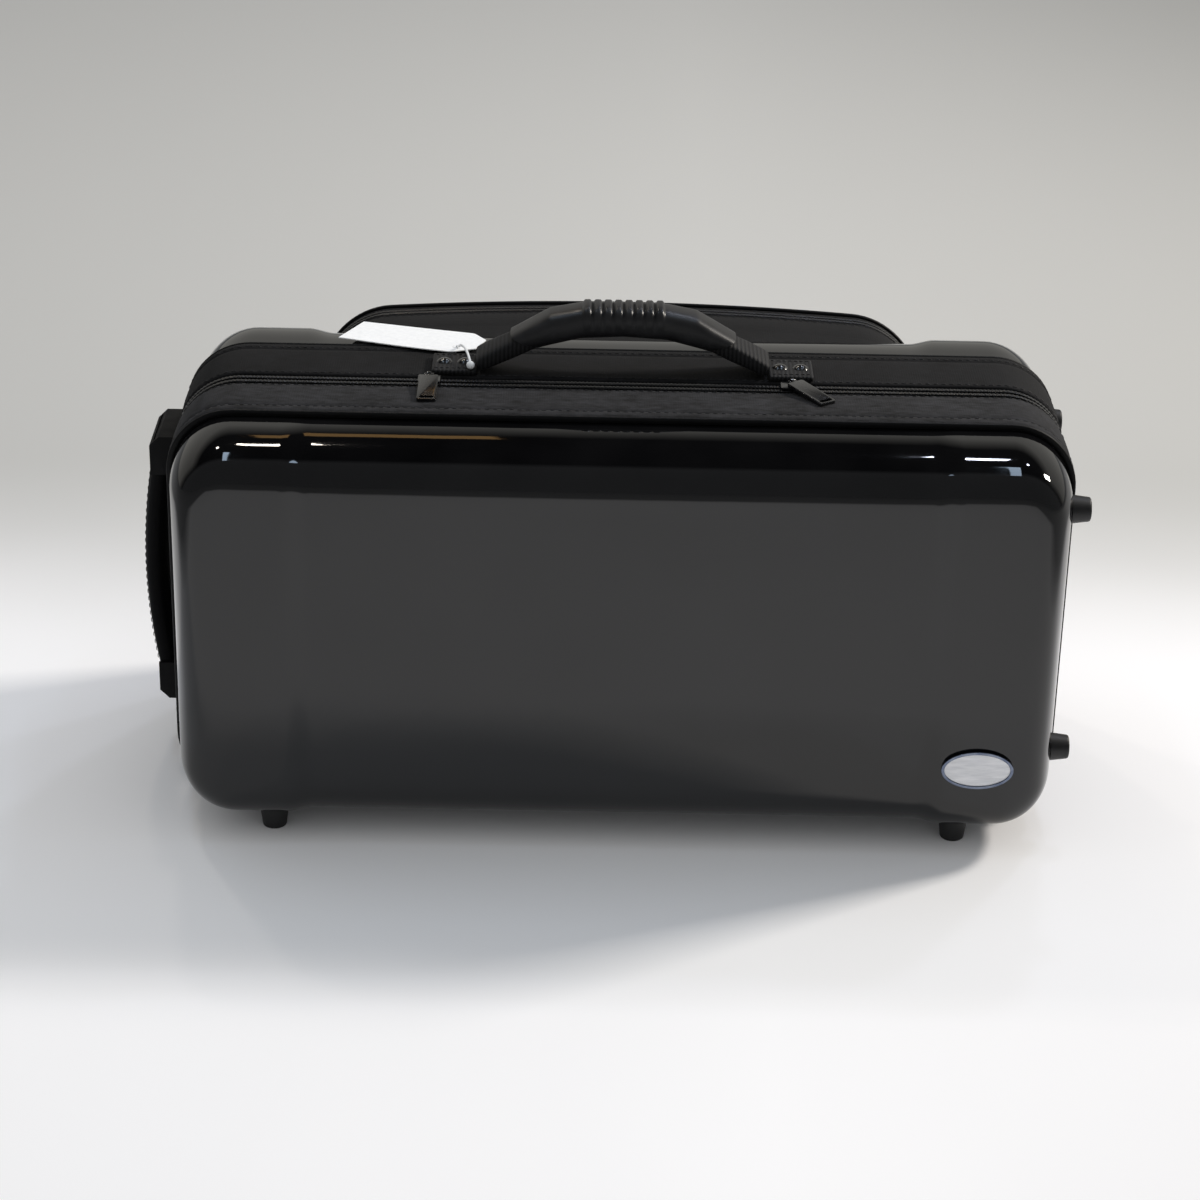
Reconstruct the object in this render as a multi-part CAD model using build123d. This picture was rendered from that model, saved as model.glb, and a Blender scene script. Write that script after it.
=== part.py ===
from build123d import *
import os
from math import asin, degrees, radians, tan

# A hard case for two trumpets, standing on its long hinge side.
# Lengths are millimetres. The pieces are built with x = 0 in the middle of the case,
# y = 0 where the two halves meet and z = 0 on the floor, and are written about the
# middle of the whole footprint. The lid half is towards -y, the body half towards +y.

# ---- shells: length, height and depth of the fibreglass, and how thick it is
shell_length = 552
shell_height = 256
shell_wall = 3
corner_radius = 38
face_radius = 35
lid_depth = 60
body_depth = 69
raised_step = 3
raised_end = 70
ramp_run = 18

# ---- fabric bands that carry the shells, with a lip over each shell's rim
band_proud = 4
lid_band_width = 44
body_band_width = 51
lip_width = 9
binding_width = 2.5
binding_round = 1.2

# ---- zip round the ends and the top
zip_zone = 17
zip_gap = 3
zip_recess = 2
tape_thick = 1.2
coil_width = 3.5
coil_below_band = 0.2
zip_end_inset = 14
stop_length = 6

# ---- hinge fabric under the case
hinge_leaf_thick = 2.2
hinge_bead = 3.6
hinge_gap = 0.4
moving_gap = 0.3
stop_gap = 1

# ---- rubber bumpers pushed into the shells
foot_height = 12
foot_radius = 9
foot_tip_radius = 7.5
foot_round = 1.5
stud_radius = 3
foot_end_inset = 60
foot_face_inset = 28.5
end_foot_reach = 12
end_foot_spacing = 165
end_foot_band_gap = 15

# ---- oval badge, bare
badge_long = 45
badge_high = 26
badge_rim = 2
badge_rim_thick = 1.8
badge_plate_thick = 1.2
badge_from_end = 51
badge_from_bottom = 52

# ---- carrying handle on the body band
handle_from_zip = 15.5
tab_inner = 92
tab_length = 28
webbing_width = 30
webbing_thick = 4
rivet_spacing = 13
rivet_radius = 5
rivet_head = 2.2
rivet_shank = 2
plate_thick = 2
plate_margin = 4
plate_gap = 0.3
handle_pivot_lift = 15.5
leg_foot = 95
leg_foot_lift = 4.4
leg_top = 62
leg_top_lift = 20
leg_thick = 10
core_width = 18
core_length = 76
core_thick = 6
grip_top = 45
grip_under = 25
grip_rib_under = 23
grip_width = 26
grip_shoulder = 46
grip_shoulder_top = 39
grip_end = 71
grip_end_top = 23
grip_heel = 53.5
grip_heel_under = 16.5
grip_rib_zone = 52
grip_rib_count = 8
grip_rib_depth = 2
grip_rib_width = 3
grip_round = 4

# ---- side handle on the left end of the body band
side_length = 186
side_width = 44
side_thick = 10
side_reach = 27
side_end_reach = 17
side_drop = 7
side_from_zip = 25.5
cap_length = 26
cap_margin = 2
cap_wall = 2.5
cap_round = 3

# ---- pocket on the back of the body shell
pocket_length = 400
pocket_height = 221
pocket_crown = 9
pocket_corner = 45
pocket_bottom = 44
pocket_deep = 38
pocket_wall = 2.5
pocket_cover_deep = 14
pocket_cover_thick = 3
pocket_round = 2
pocket_zip_width = 4
pocket_zip_gap = 1.6
pocket_zip_proud = 1
pocket_skin = 1
pocket_piping = 2
pocket_zip_rise = 50
pocket_bead = 3

# ---- sliders and pulls
slider_length = 14
slider_thick = 1.5
slider_flange = 1.2
post_length = 3
bail_height = 3.4
bail_width = 3
bail_thick = 1.4
pin_clearance = 0.8
barrel_wall = 0.6
pull_length = 36
pull_width = 12
pull_thick = 2
pull_eye = 3
pull_round = 1.4
left_slider_x = -121
right_slider_x = 106
right_pull_turn = 36
pocket_slider_z = 112
pocket_pull_length = 24
pocket_pull_width = 8

# ---- hang tag on a string by the handle's left foot
tag_x = -91
tag_from_handle = 38
tag_length = 89
tag_width = 45
tag_thick = 0.6
tag_chamfer = 12
tag_turn = 163
tag_slope = 5
tag_lift = 0.6
tag_eye_radius = 2.2
string_radius = 0.8
string_bends = 0.45
lock_radius = 2.6

# ---- padded lining and what holds two trumpets
lining = 6
lining_gap = 0.3
divider_thick = 12
divider_length = 240
divider_from_zip = 20
bell_radius = 45
bell_edge_radius = 62
bell_axis_from_zip = 57
cradle_length = 40
bell_cradle_at = 185
valve_cradle_at = 40
valve_slot = 46
rest_at = 120
rest_length = 22
rest_slot = 9
pad_length = 360
pad_height = 170
pad_thick = 10
pad_round = 6
box_from_end = 40
box_length = 106
box_tall = 75
box_wall = 3
box_deep = 40
box_from_zip = 50
lid_thick = 3
hole_radius = 13
hole_count = 3
strap_width = 25
strap_thick = 3
strap_length = 98
strap_from_zip = 14
anchor_deep = 6

# ---- worked out from the above
half_length = shell_length / 2
shell_bottom = foot_height
shell_top = shell_bottom + shell_height
mid_z = (shell_bottom + shell_top) / 2
band_bottom = shell_bottom - band_proud
band_top = shell_top + band_proud
flank_x = half_length - raised_end
waist_x = flank_x - ramp_run
zip_half = zip_zone / 2
zip_end_x = half_length - corner_radius - zip_end_inset
tape_out = band_proud - zip_recess
coil_out = band_proud - coil_below_band
handle_y = zip_half + handle_from_zip
side_y = zip_half + side_from_zip
pivot_z = band_top + handle_pivot_lift
inner_inset = shell_wall + lining
box_outer_end = half_length - box_from_end
box_inner_end = box_outer_end - box_length
floor_y = zip_half + body_band_width + body_depth - inner_inset
pocket_top = pocket_bottom + pocket_height
pocket_back = zip_half + body_band_width + body_depth + pocket_deep
lid_face = zip_half + lid_band_width + lid_depth
shift_x = (side_reach - (end_foot_reach - band_proud)) / 2
shift_y = (lid_face - pocket_back) / 2
origin = Location((shift_x, shift_y, 0))


def put(name, shape):
    export_step(shape.moved(origin), f"parts/{name}.step")


def front(shape):
    return mirror(shape, about=Plane.XZ)


def both_ends(shape):
    return shape + mirror(shape, about=Plane.YZ)


def block(x0, x1, y0, y1, z0, z1):
    box = Box(x1 - x0, y1 - y0, z1 - z0)
    return Pos((x0 + x1) / 2, (y0 + y1) / 2, (z0 + z1) / 2) * box


def along_x(radius, x0, x1, y, z):
    rod = Rot(0, 90, 0) * Cylinder(radius, x1 - x0)
    return Pos((x0 + x1) / 2, y, z) * rod


# A prism with the case's own outline, grown outwards by grow, from y0 to y1.
def outline(grow, y0, y1):
    length = shell_length + 2 * grow
    height = shell_height + 2 * grow
    sketch = Plane.XZ * RectangleRounded(length, height, corner_radius + grow)
    return Pos(0, y0, mid_z) * extrude(sketch, amount=-(y1 - y0))


def ring(outer, inner, y0, y1):
    return outline(outer, y0, y1) - outline(inner, y0, y1)


# The shell's section across its length, drawn in by step at the face.
def section(x, rim_y, face_y, step, inset):
    top = shell_top - inset
    bottom = shell_bottom + inset
    face = face_y - inset - step
    edge = FilletPolyline(
        (rim_y, top),
        (face, top - step),
        (face, bottom + step),
        (rim_y, bottom),
        radius=face_radius - inset,
    )
    rim = Line(edge @ 1, edge @ 0)
    return Plane.YZ.offset(x) * make_face(edge + rim)


# The outside of a shell, or with an inset a form inside it: raised ends, a
# shallower middle, and a ramp between them that fades out at the rim.
def form(rim_y, face_y, inset=0):
    ends = outline(-inset, rim_y, face_y - inset)
    ends = fillet(ends.faces().sort_by(Axis.Y)[-1].edges(), face_radius - inset)
    middle = block(-flank_x, flank_x, rim_y - 1, face_y + 1, 0, shell_top + shell_bottom)
    ends -= middle
    waist = section(-waist_x, rim_y, face_y, raised_step, inset)
    body = ends + extrude(waist, amount=2 * waist_x, dir=(1, 0, 0))
    for side in (-1, 1):
        raised = section(side * flank_x, rim_y, face_y, 0, inset)
        drawn_in = section(side * waist_x, rim_y, face_y, raised_step, inset)
        body += loft([raised, drawn_in], ruled=True)
    return body


class Half:
    # One half of the case on the +y side: where its band, rim and face lie.
    def __init__(self, band_width, depth):
        self.edge = zip_half + band_width
        self.rim = self.edge - lip_width
        self.face = self.edge + depth
        self.outer = form(self.rim, self.face)

    def shell(self):
        return self.outer - form(self.rim, self.face, shell_wall)

    def band(self):
        lip = ring(band_proud, 0, self.rim, self.edge)
        return lip + ring(band_proud, -shell_wall, zip_half, self.rim)

    def binding(self):
        trim = outline(band_proud, self.edge, self.edge + binding_width)
        rolled = trim.faces().sort_by(Axis.Y)[-1].edges()
        trim = fillet(rolled, binding_round)
        return trim - outline(0, self.edge, self.edge + binding_width)

    def lining(self):
        gap = shell_wall + lining_gap
        tray = form(self.rim, self.face, gap) - form(self.rim, self.face, inner_inset)
        collar = ring(-gap, -inner_inset, zip_half, self.rim)
        return tray + collar

    # The free space inside the lining, which trims what is set in it.
    def cavity(self):
        space = outline(-inner_inset, zip_half, self.rim)
        return space + form(self.rim, self.face, inner_inset)

    def bottom_feet(self):
        y = self.face - foot_face_inset
        height = foot_height + face_radius / 2
        lean = (foot_radius - foot_tip_radius) / foot_height
        pad = Cone(foot_tip_radius, foot_tip_radius + lean * height, height)
        pad = fillet(pad.edges().sort_by(Axis.Z)[0], foot_round)
        pad = Pos(half_length - foot_end_inset, y, height / 2) * pad
        stud = Cylinder(stud_radius, shell_wall + foot_height / 2)
        stud_z = shell_bottom + shell_wall - (shell_wall + foot_height / 2) / 2
        stud = Pos(half_length - foot_end_inset, y, stud_z) * stud
        return both_ends((pad - self.outer) + stud)

    def end_feet(self):
        y = self.edge + end_foot_band_gap
        height = end_foot_reach + face_radius / 2
        lean = (foot_radius - foot_tip_radius) / foot_height
        pad = Cone(foot_tip_radius + lean * height, foot_tip_radius, height)
        pad = fillet(pad.edges().sort_by(Axis.Z)[-1], foot_round)
        stud_reach = shell_wall + end_foot_reach / 2
        feet = None
        for side in (-1, 1):
            z = mid_z + side * end_foot_spacing / 2
            tip = half_length + end_foot_reach
            bumper = Pos(tip - height / 2, y, z) * (Rot(0, 90, 0) * pad) - self.outer
            stud = along_x(stud_radius, tip - end_foot_reach - shell_wall, half_length + stud_reach, y, z)
            foot = bumper + stud
            feet = foot if feet is None else feet + foot
        return feet

    def stud_holes(self):
        y = self.face - foot_face_inset
        hole = Pos(half_length - foot_end_inset, y, shell_bottom) * Cylinder(
            stud_radius, 4 * shell_wall
        )
        holes = both_ends(hole)
        for side in (-1, 1):
            z = mid_z + side * end_foot_spacing / 2
            x0 = half_length - 2 * shell_wall
            holes += along_x(stud_radius, x0, half_length + shell_wall, self.edge + end_foot_band_gap, z)
        return holes


def zip_cut(x_end):
    return block(-x_end, x_end, -zip_zone, zip_zone, 0, mid_z - shell_height / 4)


def zip_tape():
    tape = ring(tape_out, tape_out - tape_thick, zip_gap / 2, zip_half)
    return tape - zip_cut(zip_end_x)


def zip_coil():
    coil = ring(coil_out, tape_out, zip_gap / 2, zip_gap / 2 + coil_width)
    return coil - zip_cut(zip_end_x)


def zip_stops():
    z0 = band_bottom + coil_below_band
    stop = block(
        zip_end_x - stop_length,
        zip_end_x,
        zip_gap / 2,
        zip_half,
        z0,
        z0 + hinge_leaf_thick,
    )
    return both_ends(stop)


def hinge_half_length():
    return zip_end_x - stop_length - stop_gap


def hinge_leaf():
    x = hinge_half_length()
    y0 = hinge_bead / 2 + hinge_gap
    z0 = band_bottom + coil_below_band
    return block(-x, x, y0, zip_half, z0, z0 + hinge_leaf_thick)


def hinge_welt():
    x = hinge_half_length()
    return along_x(hinge_bead / 2, -x, x, 0, band_bottom)


# ---- badge

def badge_at(y):
    return Pos(half_length - badge_from_end, y, shell_bottom + badge_from_bottom)


def badge_oval(grow, thick, lid):
    oval = Plane.XZ * Ellipse(badge_long / 2 + grow, badge_high / 2 + grow)
    solid = extrude(oval, amount=-(thick + raised_step))
    return badge_at(lid.face - raised_step) * solid


def badge_plate(lid):
    return badge_oval(-badge_rim, badge_plate_thick, lid) - lid.outer


def badge_frame(lid):
    frame = badge_oval(0, badge_rim_thick, lid) - badge_oval(-badge_rim, badge_rim_thick, lid)
    return frame - lid.outer


# ---- carrying handle

def rivet_places():
    middle = tab_inner + tab_length / 2
    return [middle - rivet_spacing / 2, middle + rivet_spacing / 2]


def shanks(radius, z0, z1):
    pins = None
    for x in rivet_places():
        pin = Pos(x, handle_y, (z0 + z1) / 2) * Cylinder(radius, z1 - z0)
        pins = pin if pins is None else pins + pin
    return both_ends(pins)


def handle_tabs():
    y0 = handle_y - webbing_width / 2
    tab = block(
        tab_inner,
        tab_inner + tab_length,
        y0,
        y0 + webbing_width,
        band_top,
        band_top + webbing_thick,
    )
    tab = fillet(tab.edges().filter_by(Axis.Z), cap_margin)
    return both_ends(tab) - shanks(rivet_shank, band_top, band_top + webbing_thick)


def handle_plates():
    z1 = shell_top - shell_wall
    plate = block(
        tab_inner,
        tab_inner + tab_length,
        handle_y - webbing_width / 2,
        handle_y + webbing_width / 2,
        z1 - plate_thick,
        z1,
    )
    return both_ends(plate) - shanks(rivet_shank, z1 - plate_thick, z1)


def plate_pockets():
    z1 = shell_top - shell_wall
    pocket = block(
        tab_inner - plate_margin,
        tab_inner + tab_length + plate_margin,
        handle_y - webbing_width / 2 - plate_margin,
        handle_y + webbing_width / 2 + plate_margin,
        z1 - plate_thick - plate_gap - rivet_head,
        z1 + 1,
    )
    return both_ends(pocket)


def handle_rivets():
    z0 = shell_top - shell_wall - plate_thick
    z1 = band_top + webbing_thick
    tails = shanks(rivet_radius / 2 + rivet_shank / 2, z0 - rivet_head / 2, z0)
    heads = None
    ball = (rivet_radius**2 + rivet_head**2) / (2 * rivet_head)
    for x in rivet_places():
        dome = Pos(x, handle_y, z1 + rivet_head - ball) * Sphere(ball)
        slab = block(x - ball, x + ball, handle_y - ball, handle_y + ball, z1 - 2 * ball, z1)
        head = dome - slab
        heads = head if heads is None else heads + head
    return both_ends(heads) + shanks(rivet_shank, z0, z1) + tails


def handle_core_line():
    points = [
        (-leg_foot, leg_foot_lift),
        (-leg_top, leg_top_lift),
        (-core_length / 2, (grip_top + grip_under) / 2),
        (core_length / 2, (grip_top + grip_under) / 2),
        (leg_top, leg_top_lift),
        (leg_foot, leg_foot_lift),
    ]
    return [(x, band_top + lift) for x, lift in points]


# A strip of webbing along a line in the xz plane, centred on the line.
def strip(points, thick, width, y):
    line = Polyline(*points)
    face = Plane.XZ * trace(line, line_width=thick)
    return Pos(0, y, 0) * extrude(face, amount=width / 2, both=True)


def handle_core():
    points = handle_core_line()
    return strip(points[1:-1], core_thick, core_width, handle_y)


def handle_webbing():
    points = handle_core_line()
    leg = strip(points[:2], leg_thick, webbing_width, handle_y)
    reach = tab_inner + tab_length
    turning = along_x(webbing_width / 2, -reach, -leg_top / 2, handle_y, pivot_z)
    above = block(-reach, 0, handle_y - reach, handle_y + reach, pivot_z, pivot_z + reach)
    leg = leg & (turning + above)
    leg -= block(-reach, moving_gap - tab_inner, 0, 2 * handle_y, 0, pivot_z)
    return both_ends(leg) + handle_core()


def handle_grip():
    half = [
        (0, grip_top),
        (grip_rib_zone / 2, grip_top),
        (grip_shoulder, grip_shoulder_top),
        (grip_end, grip_end_top),
        (grip_heel, grip_heel_under),
        (grip_rib_zone / 2, grip_rib_under),
        (0, grip_under),
    ]
    points = [(x, band_top + z) for x, z in half]
    face = Plane.XZ * make_face(Polyline(*points, close=True))
    grip = Pos(0, handle_y, 0) * extrude(face, amount=grip_width / 2, both=True)
    grip = both_ends(grip)
    long_edges = grip.edges().filter_by(Axis.Y, reverse=True)
    grip = fillet(long_edges, grip_round)
    pitch = grip_rib_zone / grip_rib_count
    z0 = band_top + grip_top - grip_rib_depth
    for n in range(grip_rib_count + 1):
        x = n * pitch - grip_rib_zone / 2
        groove = block(
            x - grip_rib_width / 2,
            x + grip_rib_width / 2,
            handle_y - grip_width,
            handle_y + grip_width,
            z0,
            z0 + 2 * grip_rib_depth,
        )
        grip -= groove
    return grip - handle_webbing()


# ---- side handle

def side_arc(reach, end_reach):
    z = mid_z - side_drop
    ends = side_length / 2 - cap_wall
    x = -half_length - band_proud
    return ThreePointArc((x - end_reach, z - ends), (x - reach, z), (x - end_reach, z + ends))


def side_strap():
    outer = side_arc(side_reach, side_end_reach)
    inner = side_arc(side_reach - side_thick, side_end_reach - side_thick)
    caps = Line(outer @ 1, inner @ 1) + Line(inner @ 0, outer @ 0)
    face = Plane.XZ * make_face(outer + inner + caps)
    strap = extrude(face, amount=side_width / 2, both=True)
    return Pos(0, side_y, 0) * strap


def side_caps():
    z = mid_z - side_drop
    x = -half_length - band_proud
    reach = side_end_reach + cap_wall
    cap = block(
        x - reach,
        x,
        side_y - side_width / 2 - cap_margin,
        side_y + side_width / 2 + cap_margin,
        z + side_length / 2 - cap_length,
        z + side_length / 2,
    )
    top_edge = cap.edges().filter_by(Axis.Y).sort_by(Axis.X)[:2].sort_by(Axis.Z)[-1]
    cap = chamfer(top_edge, cap_round * 2)
    caps = cap + mirror(cap, about=Plane.XY.offset(z))
    return caps - side_strap()


def side_rivets():
    z = mid_z - side_drop
    x0 = -half_length - band_proud
    reach = side_end_reach + cap_wall
    rivets = None
    for end in (-1, 1):
        for y in (side_y - side_width / 4, side_y + side_width / 4):
            place = z + end * (side_length - cap_length) / 2
            pin = along_x(rivet_shank, x0 - reach, -half_length + shell_wall, y, place)
            head = along_x(rivet_radius - 1, x0 - reach - rivet_head / 2, x0 - reach, y, place)
            rivet = pin + head
            rivets = rivet if rivets is None else rivets + rivet
    return rivets


# ---- pocket

def pocket_sketch(inset):
    x = pocket_length / 2 - inset
    z0 = pocket_bottom + inset
    z1 = pocket_top - inset
    edge = Polyline((-x, z1 - pocket_crown), (-x, z0), (x, z0), (x, z1 - pocket_crown))
    crown = ThreePointArc((x, z1 - pocket_crown), (0, z1), (-x, z1 - pocket_crown))
    face = make_face(edge + crown)
    return fillet(face.vertices(), pocket_corner - inset)


def pocket_prism(inset, y0, y1):
    face = Plane.XZ * pocket_sketch(inset)
    return Pos(0, y0, 0) * extrude(face, amount=-(y1 - y0))


def pocket_seam():
    return pocket_back - pocket_cover_deep


# The stretch of the pocket's edge below the ends of its zip.
def pocket_foot(shape):
    far = pocket_length
    return shape & block(-far, far, 0, 2 * pocket_back, 0, pocket_bottom + pocket_zip_rise)


def pocket_ring(y0, y1):
    return pocket_prism(0, y0, y1) - pocket_prism(pocket_wall, y0, y1)


def pocket_hinge_gap():
    return pocket_bead / 2 + hinge_gap


def pocket_wall_ring(body):
    y0 = body.face - face_radius
    y1 = pocket_seam() - pocket_zip_width
    foot = pocket_foot(pocket_ring(y1, pocket_seam() - pocket_hinge_gap()))
    return (pocket_ring(y0, y1) - body.outer) + foot


def pocket_zip_row(y0, y1):
    outer = -pocket_zip_proud
    row = pocket_prism(outer, y0, y1) - pocket_prism(pocket_skin, y0, y1)
    return row - pocket_foot(row)


def pocket_fixed_row():
    return pocket_zip_row(pocket_seam() - pocket_zip_width, pocket_seam() - pocket_zip_gap / 2)


def pocket_cover_row():
    return pocket_zip_row(pocket_seam() + pocket_zip_gap / 2, pocket_seam() + pocket_zip_width)


def pocket_cover():
    y0 = pocket_seam() + pocket_zip_width
    skin = pocket_prism(0, y0, pocket_back)
    rim = skin.faces().sort_by(Axis.Y)[-1].edges()
    skin = fillet(rim, pocket_round)
    skin -= pocket_prism(pocket_wall, y0, pocket_back - pocket_cover_thick)
    foot = pocket_foot(pocket_ring(pocket_seam() + pocket_hinge_gap(), y0))
    return skin + foot


def pocket_cover_piping():
    y1 = pocket_back - pocket_cover_thick
    trim = pocket_prism(-pocket_piping, y1 - pocket_piping, y1)
    return trim - pocket_prism(0, y1 - pocket_piping, y1)


def pocket_hinge_welt():
    x = pocket_length / 2 - pocket_corner
    return along_x(pocket_bead / 2, -x, x, pocket_seam(), pocket_bottom)


# ---- zip sliders
# A slider lies in its own frame: x along the zip, y across it with the fixed row
# of teeth at +y, and z = 0 on the face of the tape.

def slider(gap, row, high, tape, open_side):
    half = slider_length / 2
    front_y = -gap / 2 - row
    back_y = gap / 2 + row + moving_gap + slider_flange
    under = high + moving_gap
    low = -tape - moving_gap
    roof = block(-half, half, front_y, back_y, under, under + slider_thick)
    roof = fillet(roof.edges().filter_by(Axis.Z), slider_flange)
    sole = block(-half, half, front_y, -front_y, low - slider_thick, low)
    rim = half - slider_flange
    flange = block(-rim, rim, back_y - slider_flange, back_y, moving_gap, under)
    post_x = open_side * (half - post_length / 2)
    wedge = gap / 2 - moving_gap
    post = block(post_x - post_length / 2, post_x + post_length / 2, -wedge, wedge, low, under)
    return roof + sole + flange + post


# The loop on a slider that its pull turns on, with its bar along x.
def bail(high):
    z0 = high + moving_gap + slider_thick
    y = bail_thick / 2
    x = bail_width
    loop = block(-x, x, -y, y, z0, z0 + bail_height)
    eye = x - bail_thick
    return loop - block(-eye, eye, -bail_thick, bail_thick, z0, z0 + bail_height - bail_thick)


def pin_height(high):
    return high + moving_gap + slider_thick + bail_height - bail_thick / 2


# A pull on its pin, lying towards -y: a barrel round the pin, a neck and a tab.
def pull(length, width):
    barrel_half = bail_width - bail_thick - moving_gap
    bore = bail_thick * pin_clearance
    barrel = along_x(bore + barrel_wall, -barrel_half, barrel_half, 0, 0)
    neck_end = bore + 2 * barrel_wall
    z = pull_thick / 2
    neck = block(-barrel_half, barrel_half, -neck_end - moving_gap, 0, -z, z)
    tab = block(-width / 2, width / 2, -length, -neck_end, -z, z)
    tab = fillet(tab.edges().filter_by(Axis.Z), pull_round)
    eye = Pos(0, pull_eye - length, 0) * SlotOverall(width - pull_eye, pull_eye)
    solid = barrel + neck + tab - extrude(eye, amount=pull_thick, both=True)
    return solid - along_x(bore, -barrel_half, barrel_half, 0, 0)


# How far a pull droops before its tip meets the surface below.
def droop(pin, surface, length):
    return degrees(asin((pin - pull_thick / 2 - moving_gap - surface) / length))


def top_zip_frame(x):
    return Pos(x, 0, shell_top + tape_out)


def top_pin():
    return pin_height(coil_out - tape_out)


def top_slider(x, open_side, turn):
    high = coil_out - tape_out
    solid = slider(zip_gap, coil_width, high, tape_thick, open_side)
    return top_zip_frame(x) * (solid + Rot(0, 0, turn) * bail(high))


def top_pull(x, turn):
    angle = droop(top_pin(), band_proud - tape_out, pull_length)
    tab = Rot(angle, 0, 0) * pull(pull_length, pull_width)
    return top_zip_frame(x) * (Pos(0, 0, top_pin()) * (Rot(0, 0, turn) * tab))


def pocket_zip_frame():
    place = (pocket_length / 2, pocket_seam(), pocket_slider_z)
    return Plane(origin=place, x_dir=(0, 0, 1), z_dir=(1, 0, 0))


def pocket_slider():
    row = pocket_zip_width - pocket_zip_gap / 2 - moving_gap
    solid = slider(pocket_zip_gap, row, pocket_zip_proud, pocket_skin, 1)
    return pocket_zip_frame() * (solid + Rot(0, 0, -90) * bail(pocket_zip_proud))


def pocket_pull():
    pin = pin_height(pocket_zip_proud)
    angle = droop(pin, pocket_zip_proud, pocket_pull_length)
    tab = Rot(angle, 0, 0) * pull(pocket_pull_length, pocket_pull_width)
    return pocket_zip_frame() * (Pos(0, 0, pin) * (Rot(0, 0, -90) * tab))


# ---- hang tag
# The card lies on the edge of the band and slopes down over the shell.

def tag_frame():
    pivot = Pos(tag_x, handle_y, band_top + tag_lift)
    run = tag_from_handle
    slope = Rot(-tag_slope, 0, 0)
    return pivot * Pos(0, run, 0) * slope * Rot(0, 0, tag_turn)


def hang_tag():
    w = tag_width / 2
    c = tag_chamfer
    points = [(0, c - w), (c, -w), (tag_length, -w), (tag_length, w), (c, w), (0, w - c)]
    card = extrude(make_face(Polyline(*points, close=True)), amount=tag_thick)
    eye = Pos(c, w - c, 0) * Cylinder(tag_eye_radius, 4 * tag_thick)
    return tag_frame() * (card - eye)


def string_points():
    return [
        (tag_x - 14.6, handle_y + 30.3, band_top + 1.5),
        (tag_x - 13.3, handle_y + 25.5, band_top + 5),
        (tag_x - 11, handle_y + 17, band_top + 8.5),
        (tag_x - 8.3, handle_y + 6, band_top + 10.4),
        (tag_x - 6, handle_y - 6, band_top + 10.2),
        (tag_x - 4.5, handle_y - 11.5, band_top + 7.2),
    ]


# Each bend is as large as its two runs allow.
def string_radii(points):
    radii = []
    for before, corner, after in zip(points, points[1:], points[2:]):
        arriving = Vector(*corner) - Vector(*before)
        leaving = Vector(*after) - Vector(*corner)
        shorter = min(arriving.length, leaving.length)
        half_turn = radians(arriving.get_angle(leaving)) / 2
        radii.append(string_bends * shorter / tan(half_turn))
    return radii


def tag_string():
    points = string_points()
    radii = string_radii(points)
    path = FilletPolyline(*points, radius=radii)
    start = Plane(origin=path @ 0, z_dir=path % 0)
    tube = sweep(start * Circle(string_radius), path=path)
    print("string radii", [round(r, 1) for r in radii], "length", round(path.length, 2))
    return tube - tag_lock() - hang_tag()


def tag_lock():
    x, y, z = string_points()[-1]
    rest_z = band_top + webbing_thick + lock_radius
    return Pos(x, y - lock_radius / 2, rest_z) * Sphere(lock_radius)


# ---- things inside

def divider(cavity):
    x = divider_length / 2
    slab = block(
        -x,
        x,
        divider_from_zip,
        floor_y,
        mid_z - divider_thick / 2,
        mid_z + divider_thick / 2,
    )
    return slab & cavity


def other_way(shape):
    return mirror(mirror(shape, about=Plane.YZ), about=Plane.XY.offset(mid_z))


def bell_axis_z():
    return shell_top - inner_inset - bell_edge_radius


def bell_cradles(cavity):
    z0 = mid_z + divider_thick
    x0 = -bell_cradle_at - cradle_length / 2
    rest = block(x0, x0 + cradle_length, bell_axis_from_zip, floor_y, z0, shell_top - inner_inset)
    rest -= along_x(bell_radius, x0 - 1, x0 + cradle_length + 1, bell_axis_from_zip, bell_axis_z())
    rest = rest & cavity
    return rest + other_way(rest)


def valve_cradles(cavity):
    z0 = mid_z + divider_thick / 2
    x0 = valve_cradle_at - cradle_length / 2
    rest = block(x0, x0 + cradle_length, bell_axis_from_zip, floor_y, z0, shell_top - inner_inset)
    gap = valve_slot / 2
    rest -= block(
        x0 - 1,
        x0 + cradle_length + 1,
        0,
        floor_y - valve_slot / 2,
        bell_axis_z() - gap,
        bell_axis_z() + gap,
    )
    rest = rest & cavity
    return rest + other_way(rest)


def mouthpipe_rests(cavity):
    z0 = mid_z + divider_thick / 2
    z1 = shell_top - inner_inset - box_tall - box_wall
    x0 = box_inner_end + rest_length
    rest = block(x0, x0 + rest_length, bell_axis_from_zip, floor_y, z0, z1)
    slot = along_x(rest_slot, x0 - 1, x0 + rest_length + 1, bell_axis_from_zip, (z0 + z1) / 2)
    rest = (rest - slot) & cavity
    return rest + other_way(rest)


def accessory_box(cavity):
    z1 = shell_top - inner_inset
    z0 = z1 - box_tall
    y1 = box_from_zip + box_deep
    outer = block(box_inner_end, box_outer_end, box_from_zip, y1, z0, z1)
    inner = block(
        box_inner_end + box_wall,
        box_outer_end - box_wall,
        box_from_zip - 1,
        y1 - box_wall,
        z0 + box_wall,
        z1 - box_wall,
    )
    return (outer & cavity) - inner


# A flap from z0 to z1 whose top edge is rolled round its hinge line.
def flap(x0, x1, y0, y1, z0, z1):
    roll = (y1 - y0) / 2
    sheet = block(x0, x1, y0, y1, z0, z1 - roll)
    return sheet + along_x(roll, x0, x1, y0 + roll, z1 - roll)


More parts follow.
